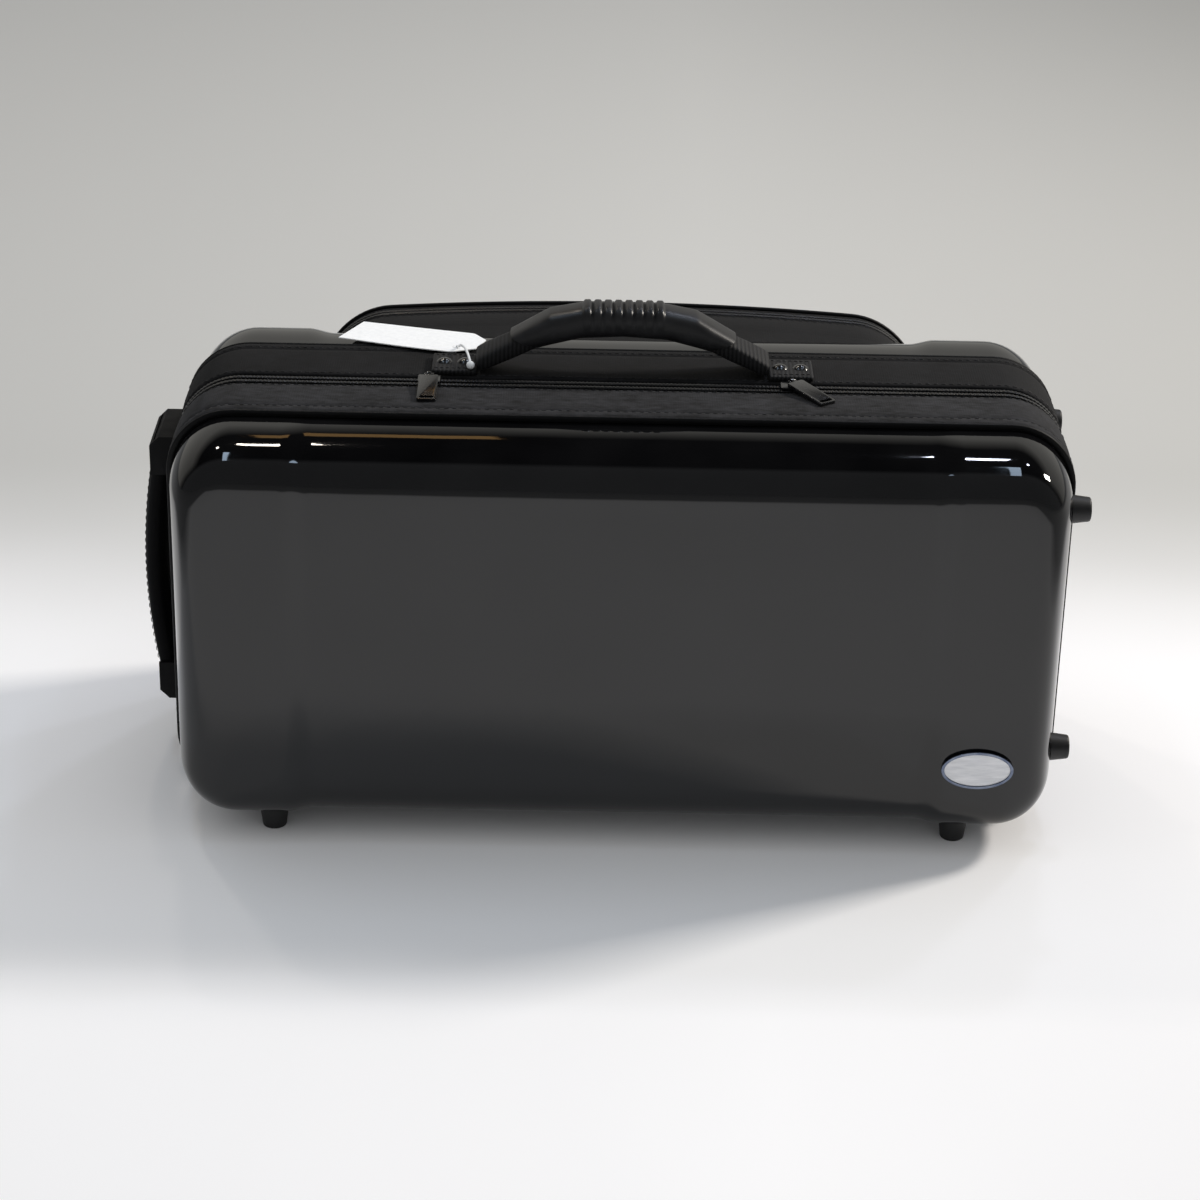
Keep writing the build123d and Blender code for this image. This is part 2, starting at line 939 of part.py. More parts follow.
def accessory_lid():
    z1 = shell_top - inner_inset - box_wall
    y1 = box_from_zip - moving_gap
    z0 = z1 - box_tall + box_wall
    return flap(box_inner_end, box_outer_end, y1 - lid_thick, y1, z0, z1)


def mouthpiece_rack(cavity):
    z0 = shell_bottom + inner_inset
    y1 = box_from_zip + box_deep
    rack = block(-box_outer_end, -box_inner_end, box_from_zip, y1, z0, z0 + box_tall)
    rack = rack & cavity
    pitch = (box_outer_end - box_inner_end) / hole_count
    for n in range(hole_count):
        x = -box_outer_end + (n + 0.5) * pitch
        bore = Rot(90, 0, 0) * Cylinder(hole_radius, 2 * (box_deep - box_wall))
        rack -= Pos(x, box_from_zip, z0 + box_tall / 2) * bore
    return rack


def strap_anchor():
    z1 = shell_top - inner_inset
    y1 = strap_from_zip + strap_thick
    x = strap_width / 2
    return block(-x, x, strap_from_zip, y1, z1 - anchor_deep, z1)


def strap():
    z1 = shell_top - inner_inset - anchor_deep - moving_gap
    y1 = strap_from_zip + strap_thick
    x = strap_width / 2
    band = flap(-x, x, strap_from_zip, y1, z1 - strap_length, z1)
    return fillet(band.edges().filter_by(Axis.Y).sort_by(Axis.Z)[:2], strap_width / 4)


def downside(shape):
    return mirror(shape, about=Plane.XY.offset(mid_z))


def lid_pad(lid):
    y1 = lid.face - raised_step - inner_inset
    x = pad_length / 2
    z = pad_height / 2
    pad = block(-x, x, y1 - pad_thick, y1, mid_z - z, mid_z + z)
    pad = fillet(pad.edges().filter_by(Axis.Y), pad_round * 2)
    return fillet(pad.faces().sort_by(Axis.Y)[0].edges(), pad_round)


def main():
    os.makedirs("parts", exist_ok=True)
    lid = Half(lid_band_width, lid_depth)
    body = Half(body_band_width, body_depth)

    # lid half
    put("front_shell", front(lid.shell() - lid.stud_holes()))
    put("front_band", front(lid.band()))
    put("front_binding", front(lid.binding()))
    put("front_lining", front(lid.lining()))
    put("front_zip_tape", front(zip_tape()))
    put("front_zip_coil", front(zip_coil()))
    put("front_zip_stops", front(zip_stops()))
    put("front_hinge_leaf", front(hinge_leaf()))
    put("front_bottom_feet", front(lid.bottom_feet()))
    put("front_end_feet", front(lid.end_feet()))
    put("badge_plate", front(badge_plate(lid)))
    put("badge_frame", front(badge_frame(lid)))
    put("lid_pad", front(lid_pad(lid)))

    # body half
    cavity = body.cavity()
    band = body.band() - shanks(rivet_shank, shell_top - 2 * shell_wall, band_top + 1)
    pins = side_rivets()
    put("rear_shell", body.shell() - body.stud_holes())
    put("rear_band", band - pins)
    put("rear_binding", body.binding())
    put("rear_lining", body.lining() - plate_pockets())
    put("rear_zip_tape", zip_tape())
    put("rear_zip_coil", zip_coil())
    put("rear_zip_stops", zip_stops())
    put("rear_hinge_leaf", hinge_leaf())
    put("hinge_welt", hinge_welt())
    put("rear_bottom_feet", body.bottom_feet())
    put("rear_end_feet", body.end_feet())
    put("centre_divider", divider(cavity))
    put("bell_cradles", bell_cradles(cavity))
    put("valve_cradles", valve_cradles(cavity))
    put("mouthpipe_rests", mouthpipe_rests(cavity))
    put("accessory_box", accessory_box(cavity))
    put("accessory_lid", accessory_lid())
    put("mouthpiece_rack", mouthpiece_rack(cavity))
    put("strap_anchors", strap_anchor() + downside(strap_anchor()))
    put("upper_strap", strap())
    put("lower_strap", downside(strap()))

    # handles
    put("handle_tabs", handle_tabs())
    put("handle_plates", handle_plates())
    put("handle_rivets", handle_rivets())
    put("handle_webbing", handle_webbing())
    put("handle_grip", handle_grip())
    put("side_handle_strap", side_strap() - pins)
    put("side_handle_caps", side_caps() - pins)
    put("side_handle_rivets", pins)

    # pocket
    put("pocket_wall", pocket_wall_ring(body))
    put("pocket_fixed_row", pocket_fixed_row())
    put("pocket_hinge_welt", pocket_hinge_welt())
    put("pocket_cover", pocket_cover())
    put("pocket_cover_row", pocket_cover_row())
    put("pocket_piping", pocket_cover_piping())
    put("pocket_slider", pocket_slider())
    put("pocket_pull", pocket_pull())

    # sliders of the main zip
    put("left_slider", top_slider(left_slider_x, 1, 0))
    put("left_pull", top_pull(left_slider_x, 0))
    put("right_slider", top_slider(right_slider_x, -1, right_pull_turn))
    put("right_pull", top_pull(right_slider_x, right_pull_turn))

    # hang tag
    put("hang_tag", hang_tag())
    put("tag_string", tag_string())
    put("tag_lock", tag_lock())


if __name__ == "__main__":
    main()
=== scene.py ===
import bpy
import bmesh
from math import sin, cos, pi, radians, sqrt, copysign
from mathutils import Vector, Matrix, Euler


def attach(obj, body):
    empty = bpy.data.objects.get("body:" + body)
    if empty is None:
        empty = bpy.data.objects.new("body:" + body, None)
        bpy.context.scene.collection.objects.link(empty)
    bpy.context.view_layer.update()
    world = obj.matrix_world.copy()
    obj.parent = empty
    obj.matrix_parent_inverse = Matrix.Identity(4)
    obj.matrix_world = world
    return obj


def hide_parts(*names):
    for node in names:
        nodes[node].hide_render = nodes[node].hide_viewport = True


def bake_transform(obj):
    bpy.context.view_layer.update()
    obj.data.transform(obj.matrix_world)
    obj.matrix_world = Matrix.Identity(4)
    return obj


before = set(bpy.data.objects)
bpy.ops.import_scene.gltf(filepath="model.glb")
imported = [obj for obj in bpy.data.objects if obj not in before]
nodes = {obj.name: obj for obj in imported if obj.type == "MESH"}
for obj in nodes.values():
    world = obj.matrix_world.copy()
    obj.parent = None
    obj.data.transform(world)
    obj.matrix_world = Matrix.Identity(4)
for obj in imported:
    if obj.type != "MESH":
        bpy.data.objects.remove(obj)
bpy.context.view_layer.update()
print("frame loaded:", len(nodes), "pieces")

# Lengths below are in millimetres about the middle of the case, with y = 0 at the zip.
shiftX, shiftY = 9.5, -27.0


def toFrame(x, y, z):
    return ((x + shiftX) / 1000, (y + shiftY) / 1000, z / 1000)


def fromHex(code):
    parts = [int(code[i:i + 2], 16) / 255 for i in (1, 3, 5)]
    return tuple(c / 12.92 if c <= 0.04045 else ((c + 0.055) / 1.055) ** 2.4 for c in parts) + (1.0,)


# Gives inputs of a node a plain value, a socket or another node's first output.
def feedNode(tree, node, feed):
    for key, value in feed.items():
        if isinstance(value, bpy.types.Node):
            value = value.outputs[0]
        if isinstance(value, bpy.types.NodeSocket):
            tree.links.new(value, node.inputs[key])
        else:
            node.inputs[key].default_value = value


# Adds a node with its settings and feeds its inputs.
def addNode(tree, kind, feed=None, **settings):
    node = tree.nodes.new("ShaderNode" + kind)
    for key, value in settings.items():
        setattr(node, key, value)
    feedNode(tree, node, feed or {})
    return node


def startMaterial(name):
    mat = bpy.data.materials.new(name)
    mat.use_nodes = True
    tree = mat.node_tree
    place = addNode(tree, "TexCoord").outputs["Object"]
    return mat, tree, tree.nodes["Principled BSDF"], place


# Mixes two colours by spread and raises the surface by height, if any. A colour Mix has its colours at
# inputs 6 and 7 and its result at output 2.
def finishMaterial(tree, shader, spread, dark, light, height, depthMm, inputs):
    tone = addNode(tree, "Mix", {"Factor": spread, 6: fromHex(dark), 7: fromHex(light)}, data_type="RGBA")
    feedNode(tree, shader, {"Base Color": tone.outputs[2], **inputs})
    if height is not None:
        bump = addNode(tree, "Bump", {"Height": height, "Distance": depthMm / 1000})
        feedNode(tree, shader, {"Normal": bump})


# Noise stays mostly between these.
noiseSpan = {"From Min": 0.3, "From Max": 0.7}

# Fibreglass laid up in a mould, with a polished gel coat: deep black, mirror-like,
# with a trace of orange peel and of fine dust.
gelCoat = {"colour": "#070708", "dust": "#0e0e0f", "cloudMm": 60, "grainMm": 2.5, "rough": (0.025, 0.05),
           "peelMm": 9, "peelDepth": 0.004, "swimMm": 42, "swimDepth": 0.1, "ior": 1.55}


def gelCoatFibreglass():
    mat, tree, shader, place = startMaterial("fibreglass, polished gel coat")
    cloud = addNode(tree, "TexNoise", {"Vector": place, "Scale": 1000 / gelCoat["cloudMm"], "Detail": 3})
    dust = addNode(tree, "MapRange", {**noiseSpan, "Value": cloud})
    grain = addNode(tree, "TexNoise", {"Vector": place, "Scale": 1000 / gelCoat["grainMm"], "Detail": 4,
                                       "Roughness": 0.6})
    rough = addNode(tree, "MapRange", {**noiseSpan, "Value": grain, "To Min": gelCoat["rough"][0],
                                       "To Max": gelCoat["rough"][1]})
    swim = addNode(tree, "TexNoise", {"Vector": place, "Scale": 1000 / gelCoat["swimMm"], "Detail": 2})
    peel = addNode(tree, "TexNoise", {"Vector": place, "Scale": 1000 / gelCoat["peelMm"], "Detail": 1})
    swimHigh = addNode(tree, "Math", {0: swim, 1: gelCoat["swimDepth"]}, operation="MULTIPLY")
    height = addNode(tree, "Math", {0: peel, 1: gelCoat["peelDepth"], 2: swimHigh}, operation="MULTIPLY_ADD")
    finishMaterial(tree, shader, dust, gelCoat["colour"], gelCoat["dust"], height, 1,
                   {"Roughness": rough, "IOR": gelCoat["ior"]})
    return mat


# Woven cloth in black or grey: a plain weave whose threads run along the case and across it, dry and
# flecked. The real threads are about 0.5 mm apart, drawn as coarse as they need to show.
weave = {"fleckLong": 0.35, "cloudMm": 45, "fleckShare": 0.75, "threadShare": 0.6,
         "shows": {"From Min": 0.36, "From Max": 0.64},
         "shader": {"Sheen Roughness": 0.4, "Specular IOR Level": 0.25}}


def wovenCloth(name, dark, light, threadMm=1.5, fleckMm=3.5, sheen=0.08, rough=0.85, depthMm=0.16):
    mat, tree, shader, place = startMaterial(name)
    thread = {"Vector": place, "Scale": pi * 100 / threadMm, "Distortion": 0.4}
    along, across, up = [addNode(tree, "TexWave", thread, bands_direction=axis).outputs["Fac"]
                         for axis in "XYZ"]
    crossing = addNode(tree, "Math", {0: along, 1: up}, operation="MULTIPLY")
    woven = addNode(tree, "Math", {0: across, 1: crossing}, operation="MAXIMUM")
    drawnOut = addNode(tree, "Mapping", {"Vector": place, "Scale": (weave["fleckLong"], 1, 1)})
    fleck = addNode(tree, "TexNoise", {"Vector": drawnOut, "Scale": 1000 / fleckMm, "Detail": 4,
                                       "Roughness": 0.7})
    cloud = addNode(tree, "TexNoise", {"Vector": place, "Scale": 1000 / weave["cloudMm"], "Detail": 2})
    cloudPart = addNode(tree, "Math", {0: cloud, 1: 1 - weave["fleckShare"]}, operation="MULTIPLY")
    shade = addNode(tree, "Math", {0: fleck, 1: weave["fleckShare"], 2: cloudPart}, operation="MULTIPLY_ADD")
    spread = addNode(tree, "MapRange", {**weave["shows"], "Value": shade})
    height = addNode(tree, "Math", {0: woven, 1: weave["threadShare"], 2: fleck}, operation="MULTIPLY_ADD")
    worn = addNode(tree, "MapRange", {**noiseSpan, "Value": fleck, "To Min": rough - 0.06,
                                      "To Max": rough + 0.06})
    finishMaterial(tree, shader, spread, dark, light, height, depthMm,
                   {"Roughness": worn, "Sheen Weight": sheen, **weave["shader"]})
    return mat


# Nylon webbing, woven with heavy cross ribs: painted highlight on the rib tops, painted shade in the grooves.
webbing = {"dark": "#070708", "light": "#1c1c1e", "ribMm": 2.6, "threadMm": 1.2, "ribShare": 0.6,
           "depthMm": 0.35, "shader": {"Roughness": 0.68, "Sheen Weight": 0.03, "Sheen Roughness": 0.4,
                                       "Specular IOR Level": 0.35}}


def ribbedWebbing(name, axis):
    mat, tree, shader, place = startMaterial(name)
    ribs = addNode(tree, "TexWave", {"Vector": place, "Scale": pi * 100 / webbing["ribMm"],
                                     "Distortion": 0.3}, bands_direction=axis).outputs["Fac"]
    thread = addNode(tree, "TexNoise", {"Vector": place, "Scale": 1000 / webbing["threadMm"], "Detail": 3,
                                        "Roughness": 0.6})
    threadPart = addNode(tree, "Math", {0: thread, 1: 1 - webbing["ribShare"]}, operation="MULTIPLY")
    height = addNode(tree, "Math", {0: ribs, 1: webbing["ribShare"], 2: threadPart},
                     operation="MULTIPLY_ADD")
    # the colour follows the height: painted highlight on the ribs, painted shade between them, and random
    # tone from the threads
    spread = addNode(tree, "MapRange", {"Value": height, "From Min": 0.2, "From Max": 0.8})
    finishMaterial(tree, shader, spread, webbing["dark"], webbing["light"], height, webbing["depthMm"],
                   webbing["shader"])
    return mat


# Velour over foam: short pile that lightens where it is brushed the other way.
pile = {"dark": "#17171a", "light": "#28282c", "brushMm": 30, "pileMm": 0.8, "brushShare": 0.6,
        "depthMm": 0.3, "shader": {"Roughness": 0.95, "Sheen Weight": 0.5, "Sheen Roughness": 0.35,
                                   "Specular IOR Level": 0.1}}


def velour():
    mat, tree, shader, place = startMaterial("polyester velour over foam")
    brushed = addNode(tree, "TexNoise", {"Vector": place, "Scale": 1000 / pile["brushMm"], "Detail": 4,
                                         "Roughness": 0.6})
    hairs = addNode(tree, "TexNoise", {"Vector": place, "Scale": 1000 / pile["pileMm"], "Detail": 3,
                                       "Roughness": 0.8})
    spread = addNode(tree, "MapRange", {"Value": brushed, "From Min": 0.38, "From Max": 0.62})
    height = addNode(tree, "Math", {0: brushed, 1: pile["brushShare"], 2: hairs}, operation="MULTIPLY_ADD")
    finishMaterial(tree, shader, spread, pile["dark"], pile["light"], height, pile["depthMm"],
                   pile["shader"])
    return mat


# Moulded, cast and rolled pieces are made up alike: wear shifts the colour and, from smooth to dull, the
# roughness. A finer grain gives the relief where there is one.
def hardFinish(name, dark, light, smooth, dull, grainMm=None, depthMm=None, wearMm=14, wearDetail=4,
               wearRough=0.6, shows=noiseSpan, stretch=None, inputs={"IOR": 1.5}):
    mat, tree, shader, place = startMaterial(name)
    along = addNode(tree, "Mapping", {"Vector": place, "Scale": stretch}) if stretch else place
    worn = addNode(tree, "TexNoise", {"Vector": along, "Scale": 1000 / wearMm, "Detail": wearDetail,
                                      "Roughness": wearRough})
    spread = addNode(tree, "MapRange", {**shows, "Value": worn})
    gloss = addNode(tree, "MapRange", {**noiseSpan, "Value": worn, "To Min": smooth, "To Max": dull})
    relief = worn if depthMm else None
    if grainMm:
        relief = addNode(tree, "TexNoise", {"Vector": place, "Scale": 1000 / grainMm, "Detail": 2})
    finishMaterial(tree, shader, spread, dark, light, relief, depthMm, {"Roughness": gloss, **inputs})
    return mat


looks = {
    "gelCoat": gelCoatFibreglass(),
    "frontBand": wovenCloth("polyester canvas, woven grey", "#101011", "#303033", sheen=0.02),
    "rearBand": wovenCloth("polyester canvas, woven black", "#080809", "#1a1a1c", sheen=0.0),
    "binding": wovenCloth("nylon binding, rolled", "#030304", "#0c0c0d", 1.0, 2.0, 0.02, 0.55, 0.1),
    "zipTape": wovenCloth("zip tape, woven polyester", "#060607", "#131315", 1.2, 2.0, 0.02, 0.8, 0.12),
    "pocket": wovenCloth("nylon oxford cloth, coated back", "#060607", "#151517", 1.6, 3.0, 0.03, 0.84, 0.2),
    "sideHandle": wovenCloth("ballistic nylon, padded", "#060607", "#101012", 1.6, 2.5, 0.0, 0.85, 0.2),
    "velour": velour(),
    "webbingX": ribbedWebbing("nylon webbing, ribbed along the case", "X"),
    "webbingZ": ribbedWebbing("nylon webbing, ribbed up the case", "Z"),
    # wire wound and heat-set: a slight shine on every tooth
    "coil": hardFinish("nylon coil, extruded", "#0b0b0c", "#1f1f21", 0.32, 0.46, 1.0, 0.04),
    # soft gloss, with greyer rubbed spots
    "enamel": hardFinish("zinc casting, black enamel", "#09090a", "#3a3a3c", 0.16, 0.3, 1.6, 0.03, wearMm=5,
                         wearDetail=5, wearRough=0.7, shows={"From Min": 0.62, "From Max": 0.75},
                         inputs={"IOR": 1.5, "Coat Weight": 0.6, "Coat Roughness": 0.1}),
    # spark-eroded moulds leave a fine grain: satin on the grip, duller on the feet and the caps
    "grip": hardFinish("thermoplastic rubber, moulded satin", "#131314", "#1f1f21", 0.3, 0.44, 1.1, 0.05),
    "bumper": hardFinish("EPDM rubber, moulded", "#0a0a0b", "#161617", 0.44, 0.58, 1.2, 0.06),
    "cap": hardFinish("ABS, moulded with a fine grain", "#030304", "#070708", 0.64, 0.78, 1.2, 0.06,
                      inputs={"IOR": 1.35}),
    # a fine satin under a clear lacquer, quite bare
    "badge": hardFinish("aluminium, satin anodised", "#c2c4c8", "#dcdde0", 0.3, 0.42, depthMm=0.01, wearMm=2,
                        wearDetail=3, stretch=(0.12, 1, 1), inputs={"Metallic": 0.55}),
    # bright chrome with faint handling marks, its colour painted dark and bluish: a painted reflection of the
    # dark room round it
    "bezel": hardFinish("chromium plate, polished", "#5a6378", "#858d9c", 0.08, 0.2, wearMm=7, wearDetail=3,
                        wearRough=0.5, inputs={"Metallic": 1.0}),
    # white, faintly mottled by its fibres
    "card": hardFinish("card, clay coated", "#eceef0", "#fafbfc", 0.42, 0.55, 22, 0.5, wearMm=3, wearDetail=5,
                       wearRough=0.7, inputs={"IOR": 1.45}),
    # smooth, with a narrow shine along them
    "string": hardFinish("polypropylene, drawn white", "#dfe2e4", "#f6f7f8", 0.29, 0.43, 1.5, 0.02,
                         inputs={"IOR": 1.49}),
    "thread": hardFinish("bonded nylon thread, twisted", "#0f0f10", "#2a2a2d", 0.44, 0.58, 0.6, 0.05),
}
print("materials made:", len(looks))


def addObject(name, data):
    item = bpy.data.objects.new(name, data)
    bpy.context.scene.collection.objects.link(item)
    return item


def makePiece(name, points, faces, look, body, slotName, stands=(), sharp=None):
    mesh = bpy.data.meshes.new(name)
    mesh.from_pydata([toFrame(*p) for p in points], [], faces)
    shape = bmesh.new()
    shape.from_mesh(mesh)
    bmesh.ops.remove_doubles(shape, verts=shape.verts, dist=2e-6)
    bmesh.ops.dissolve_degenerate(shape, dist=1e-7, edges=shape.edges)
    bmesh.ops.recalc_face_normals(shape, faces=shape.faces)
    shape.to_mesh(mesh)
    shape.free()
    return dressPiece(name, mesh, look, body, slotName, stands, sharp)


def dressPiece(name, mesh, look, body, slotName, stands, sharp=None):
    mesh.polygons.foreach_set("use_smooth", [True] * len(mesh.polygons))
    if sharp is not None:
        mesh.set_sharp_from_angle(angle=radians(sharp))
    piece = addObject(name, mesh)
    mesh.materials.clear()
    mesh.materials.append(looks[look])
    if body:
        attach(piece, body)
    if stands:
        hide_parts(*stands)
    return piece


# Samples of a rounded outline in the xz plane. Each is a foot and a direction: the
# outline grown by g passes through foot + direction * (radius + g).
def outlineOf(shape, xCuts=None, zCuts=None, cornerSteps=14):
    halfX = shape["length"] / 2 - shape["radius"]
    halfZ = shape["height"] / 2 - shape["radius"]
    xs = xCuts or evenCuts(-halfX, halfX, shape["step"])
    zs = zCuts or evenCuts(-halfZ, halfZ, shape["step"])
    mid = shape["midZ"]
    samples = []
    arcs = [(1, 1, 90), (1, -1, 0), (-1, -1, -90), (-1, 1, -180)]
    runs = [[(x, halfZ, 0, 1) for x in xs], [(halfX, z, 1, 0) for z in reversed(zs)],
            [(x, -halfZ, 0, -1) for x in reversed(xs)], [(-halfX, z, -1, 0) for z in zs]]
    for run, (sx, sz, start) in zip(runs, arcs):
        samples += [(x, z + mid, nx, nz) for x, z, nx, nz in run]
        for n in range(1, cornerSteps):
            turn = radians(start - 90 * n / cornerSteps)
            samples.append((sx * halfX, sz * halfZ + mid, cos(turn), sin(turn)))
    return samples, xs, zs


def evenCuts(low, high, step):
    count = max(1, round((high - low) / step))
    return [low + (high - low) * n / count for n in range(count + 1)]


# An arched top lifts whatever lies above the middle.
def crowned(shape, x, z):
    crown = shape.get("crown", 0)
    if crown and z > shape["midZ"]:
        rise = (z - shape["midZ"]) / (shape["height"] / 2)
        z += crown * rise * max(0, 1 - (2 * x / shape["length"]) ** 2)
    return x, z


def outlinePoint(shape, sample, grow):
    x, z, nx, nz = sample
    reach = shape["radius"] + grow
    return crowned(shape, x + nx * reach, z + nz * reach)


# Carries a closed profile of (y, grow) points round an outline. The lid's pieces have side -1.
def sweepRound(shape, samples, profile, side=1, keep=None, wobble=None):
    points, faces = [], []
    used = [keep(*outlinePoint(shape, s, 0)) if keep else True for s in samples]
    count = len(profile)
    for k, sample in enumerate(samples):
        for j, (y, grow) in enumerate(profile):
            extra = wobble(k, j) if wobble else (0, 0)
            px, pz = outlinePoint(shape, sample, grow + extra[1])
            points.append((px, side * (y + extra[0]), pz))
    for k in range(len(samples)):
        after = (k + 1) % len(samples)
        if not (used[k] and used[after]):
            faces += [[edge * count + j for j in range(count)] for edge in (k, after) if used[edge]]
            continue
        for j in range(count):
            m = (j + 1) % count
            faces.append((k * count + j, k * count + m, after * count + m, after * count + j))
    return points, faces


def ringFaces(count, size):
    faces = []
    for r in range(count - 1):
        for k in range(size):
            m = (k + 1) % size
            faces.append((r * size + k, r * size + m, (r + 1) * size + m, (r + 1) * size + k))
    return faces


# A tray: rings round the outline that end in a flat or domed middle.
def trayOf(shape, xCuts, zCuts, rings, bend, cornerSteps, side=1):
    samples, xs, zs = outlineOf(shape, xCuts, zCuts, cornerSteps)
    places = [(y, outlinePoint(shape, sample, grow)) for y, grow in rings for sample in samples]
    faces = ringFaces(len(rings), len(samples))
    base = len(places)
    places += [(rings[-1][0], crowned(shape, x, z + shape["midZ"])) for x in xs for z in zs]
    rows = len(zs)
    for i in range(len(xs) - 1):
        for j in range(rows - 1):
            a = base + i * rows + j
            faces.append((a, a + rows, a + rows + 1, a + 1))
    points = [bend(x, y, z) for y, (x, z) in places]
    return [(x, side * y, z) for x, y, z in points], faces


# Joins sections of equal size in order, with both ends closed.
def loftOf(sections):
    points = [p for section in sections for p in section]
    size = len(sections[0])
    faces = ringFaces(len(sections), size)
    faces += [list(range(size)), list(range(len(points) - size, len(points)))]
    return points, faces


def smoothStep(value):
    value = min(1, max(0, value))
    return value * value * (3 - 2 * value)


# A rounded-rectangle loop in two directions, from half sizes and a squareness.
def loopOf(halfA, halfB, square, count):
    loop = []
    for n in range(count):
        turn = 2 * pi * n / count
        a = copysign(abs(cos(turn)) ** (2 / square), cos(turn)) * halfA
        b = copysign(abs(sin(turn)) ** (2 / square), sin(turn)) * halfB
        loop.append((a, b))
    return loop


def joined(builds):
    points, faces = [], []
    for p, f in builds:
        start = len(points)
        points += p
        faces += [[i + start for i in face] for face in f]
    return points, faces


caseOutline = {"length": 552, "height": 256, "radius": 38, "midZ": 140, "step": 8}
# mm: the front edge is rounded deep along the top and high up the face, and slow eases it into the face;
# step is how far the waist is drawn in, dome and wave how far the face departs from a plane
shell = {"wall": 3, "roundDeep": 50, "roundHigh": 35, "slow": 4, "step": 3, "flank": 206, "waist": 188,
         "dome": 1.0, "wave": 0.72, "waveX": 62, "waveZ": 75, "faceFrom": 0.85}
# degrees round the front edge, closest where the surface joins the face
roundTurns = [5 * n for n in range(1, 15)] + [74, 77, 80, 82.5, 84.5, 86.3, 87.7, 88.8, 89.5]
halves = {
    "lid": {"side": -1, "edge": 52.5, "rim": 43.5, "face": 112.5, "body": "lid_half", "word": "front"},
    "body": {"side": 1, "edge": 59.5, "rim": 50.5, "face": 128.5, "body": "body_half", "word": "rear"},
}


def shellPiece(half):
    # closer together over the two steps of the waist
    xs = evenCuts(-238, -210, 7) + evenCuts(-208, -186, 1.1) + evenCuts(-182, 182, 7)
    xs += evenCuts(186, 208, 1.1) + evenCuts(210, 238, 7)
    rim, face = half["rim"], half["face"]
    deep, high = shell["roundDeep"], shell["roundHigh"]
    mid, halfHigh = caseOutline["midZ"], caseOutline["height"] / 2
    flatX = caseOutline["length"] / 2 - caseOutline["radius"]
    rings = [(rim + shell["wall"], -shell["wall"]), (rim, -shell["wall"]), (rim, 0)]
    rings += [(y, 0) for y in evenCuts(rim, face - deep, 6)[1:]]
    for turn in roundTurns:
        inset = 1 - cos(radians(turn)) ** (2 / shell["slow"])
        rings.append((face - deep * (1 - sin(radians(turn))), -high * inset))
    rings.append((face, -caseOutline["radius"]))

    def bend(x, y, z):
        drawn = 1 - smoothStep((abs(x) - shell["waist"]) / (shell["flank"] - shell["waist"]))
        part = max(0, (y - rim) / (face - rim))
        y -= shell["step"] * drawn * part
        z = mid + (z - mid) * (1 - shell["step"] * drawn * part / halfHigh)
        across = max(0, 1 - (x / flatX) ** 2) * max(0, 1 - ((z - mid) / (halfHigh - high)) ** 2)
        onFace = smoothStep((part - shell["faceFrom"]) / (1 - shell["faceFrom"]))
        y -= onFace * shell["dome"] * (1 - across)
        y += onFace * across * shell["wave"] * sin(x / shell["waveX"] + (z - mid) / shell["waveZ"])
        return x, y, z

    points, faces = trayOf(caseOutline, xs, evenCuts(-90, 90, 6), rings, bend, 14, half["side"])
    makePiece(half["word"] + "_shell_skin", points, faces, "gelCoat", half["body"], "gloss_shell",
              [half["word"] + "_shell"], sharp=60)


for half in halves.values():
    shellPiece(half)
print("shells made")


band = {"proud": 4, "zipHalf": 8.5, "seamIn": 9, "puff": 0.5, "inner": -3, "stitchIn": 2.4, "stitchOut": 2.2}
zipper = {"gap": 1.5, "tapeOut": 2, "tapeThick": 1.2, "coilOut": 3.8, "coilWide": 3.5, "toothMm": 2.4,
          "square": 2.4, "thin": 0.24, "endX": 224, "endZ": 76}


def bandProfile(half):
    y0, y1, top = band["zipHalf"], half["edge"], band["proud"] - 0.05
    seam, inner = y1 - band["seamIn"], band["inner"]
    profile = [(y0, inner), (y0, top - 1.6), (y0 + 0.3, top - 0.6), (y0 + 1.2, top - 0.1), (y0 + 3, top)]
    for n in range(1, 8):
        y = y0 + 3 + (seam - y0 - 4.2) * n / 8
        profile.append((y, top + band["puff"] * sin(pi * n / 8)))
    profile += [(seam - 1.1, top - 0.05), (seam, top - 0.75), (seam + 1.1, top - 0.05)]
    profile += [(seam + 4, top + 0.35), (y1 - 1.5, top + 0.1), (y1 - 0.4, top - 0.5), (y1, top - 1.4)]
    profile += [(y1, 0.02), (half["rim"], 0.02), (half["rim"], inner)]
    return profile


# Zip teeth: a loop carried round an outline and thinned at every other cut, by thin times shares.
def teethRound(outline, cornerSteps, centre, halfSizes, square, side, keep, thin, shares):
    samples = outlineOf(dict(outline, step=zipper["toothMm"] / 2), cornerSteps=cornerSteps)[0]
    loop = [(centre[0] + a, centre[1] + b) for a, b in loopOf(*halfSizes, square, 10)]

    def tooth(k, j):
        return [(loop[j][n] - centre[n]) * -(thin if k % 2 else 0) * shares[n] for n in (0, 1)]

    return sweepRound(outline, samples, loop, side, keep, tooth)


def coilPiece(half):
    centre = zipper["gap"] + zipper["coilWide"] / 2, (zipper["coilOut"] + zipper["tapeOut"]) / 2
    teeth = teethRound(caseOutline, round(60 / zipper["toothMm"] * 2), centre,
                       (zipper["coilWide"] / 2, 0.9), zipper["square"], half["side"], onZip, zipper["thin"],
                       (0.6, 2.2))
    makePiece(half["word"] + "_zip_teeth", *teeth, "coil", half["body"], "zip_teeth",
              [half["word"] + "_zip_coil"], sharp=35)


def onZip(x, z):
    return z > zipper["endZ"] or abs(x) > zipper["endX"]


stitch = {"pitch": 5, "long": 3.2, "thick": 0.45}


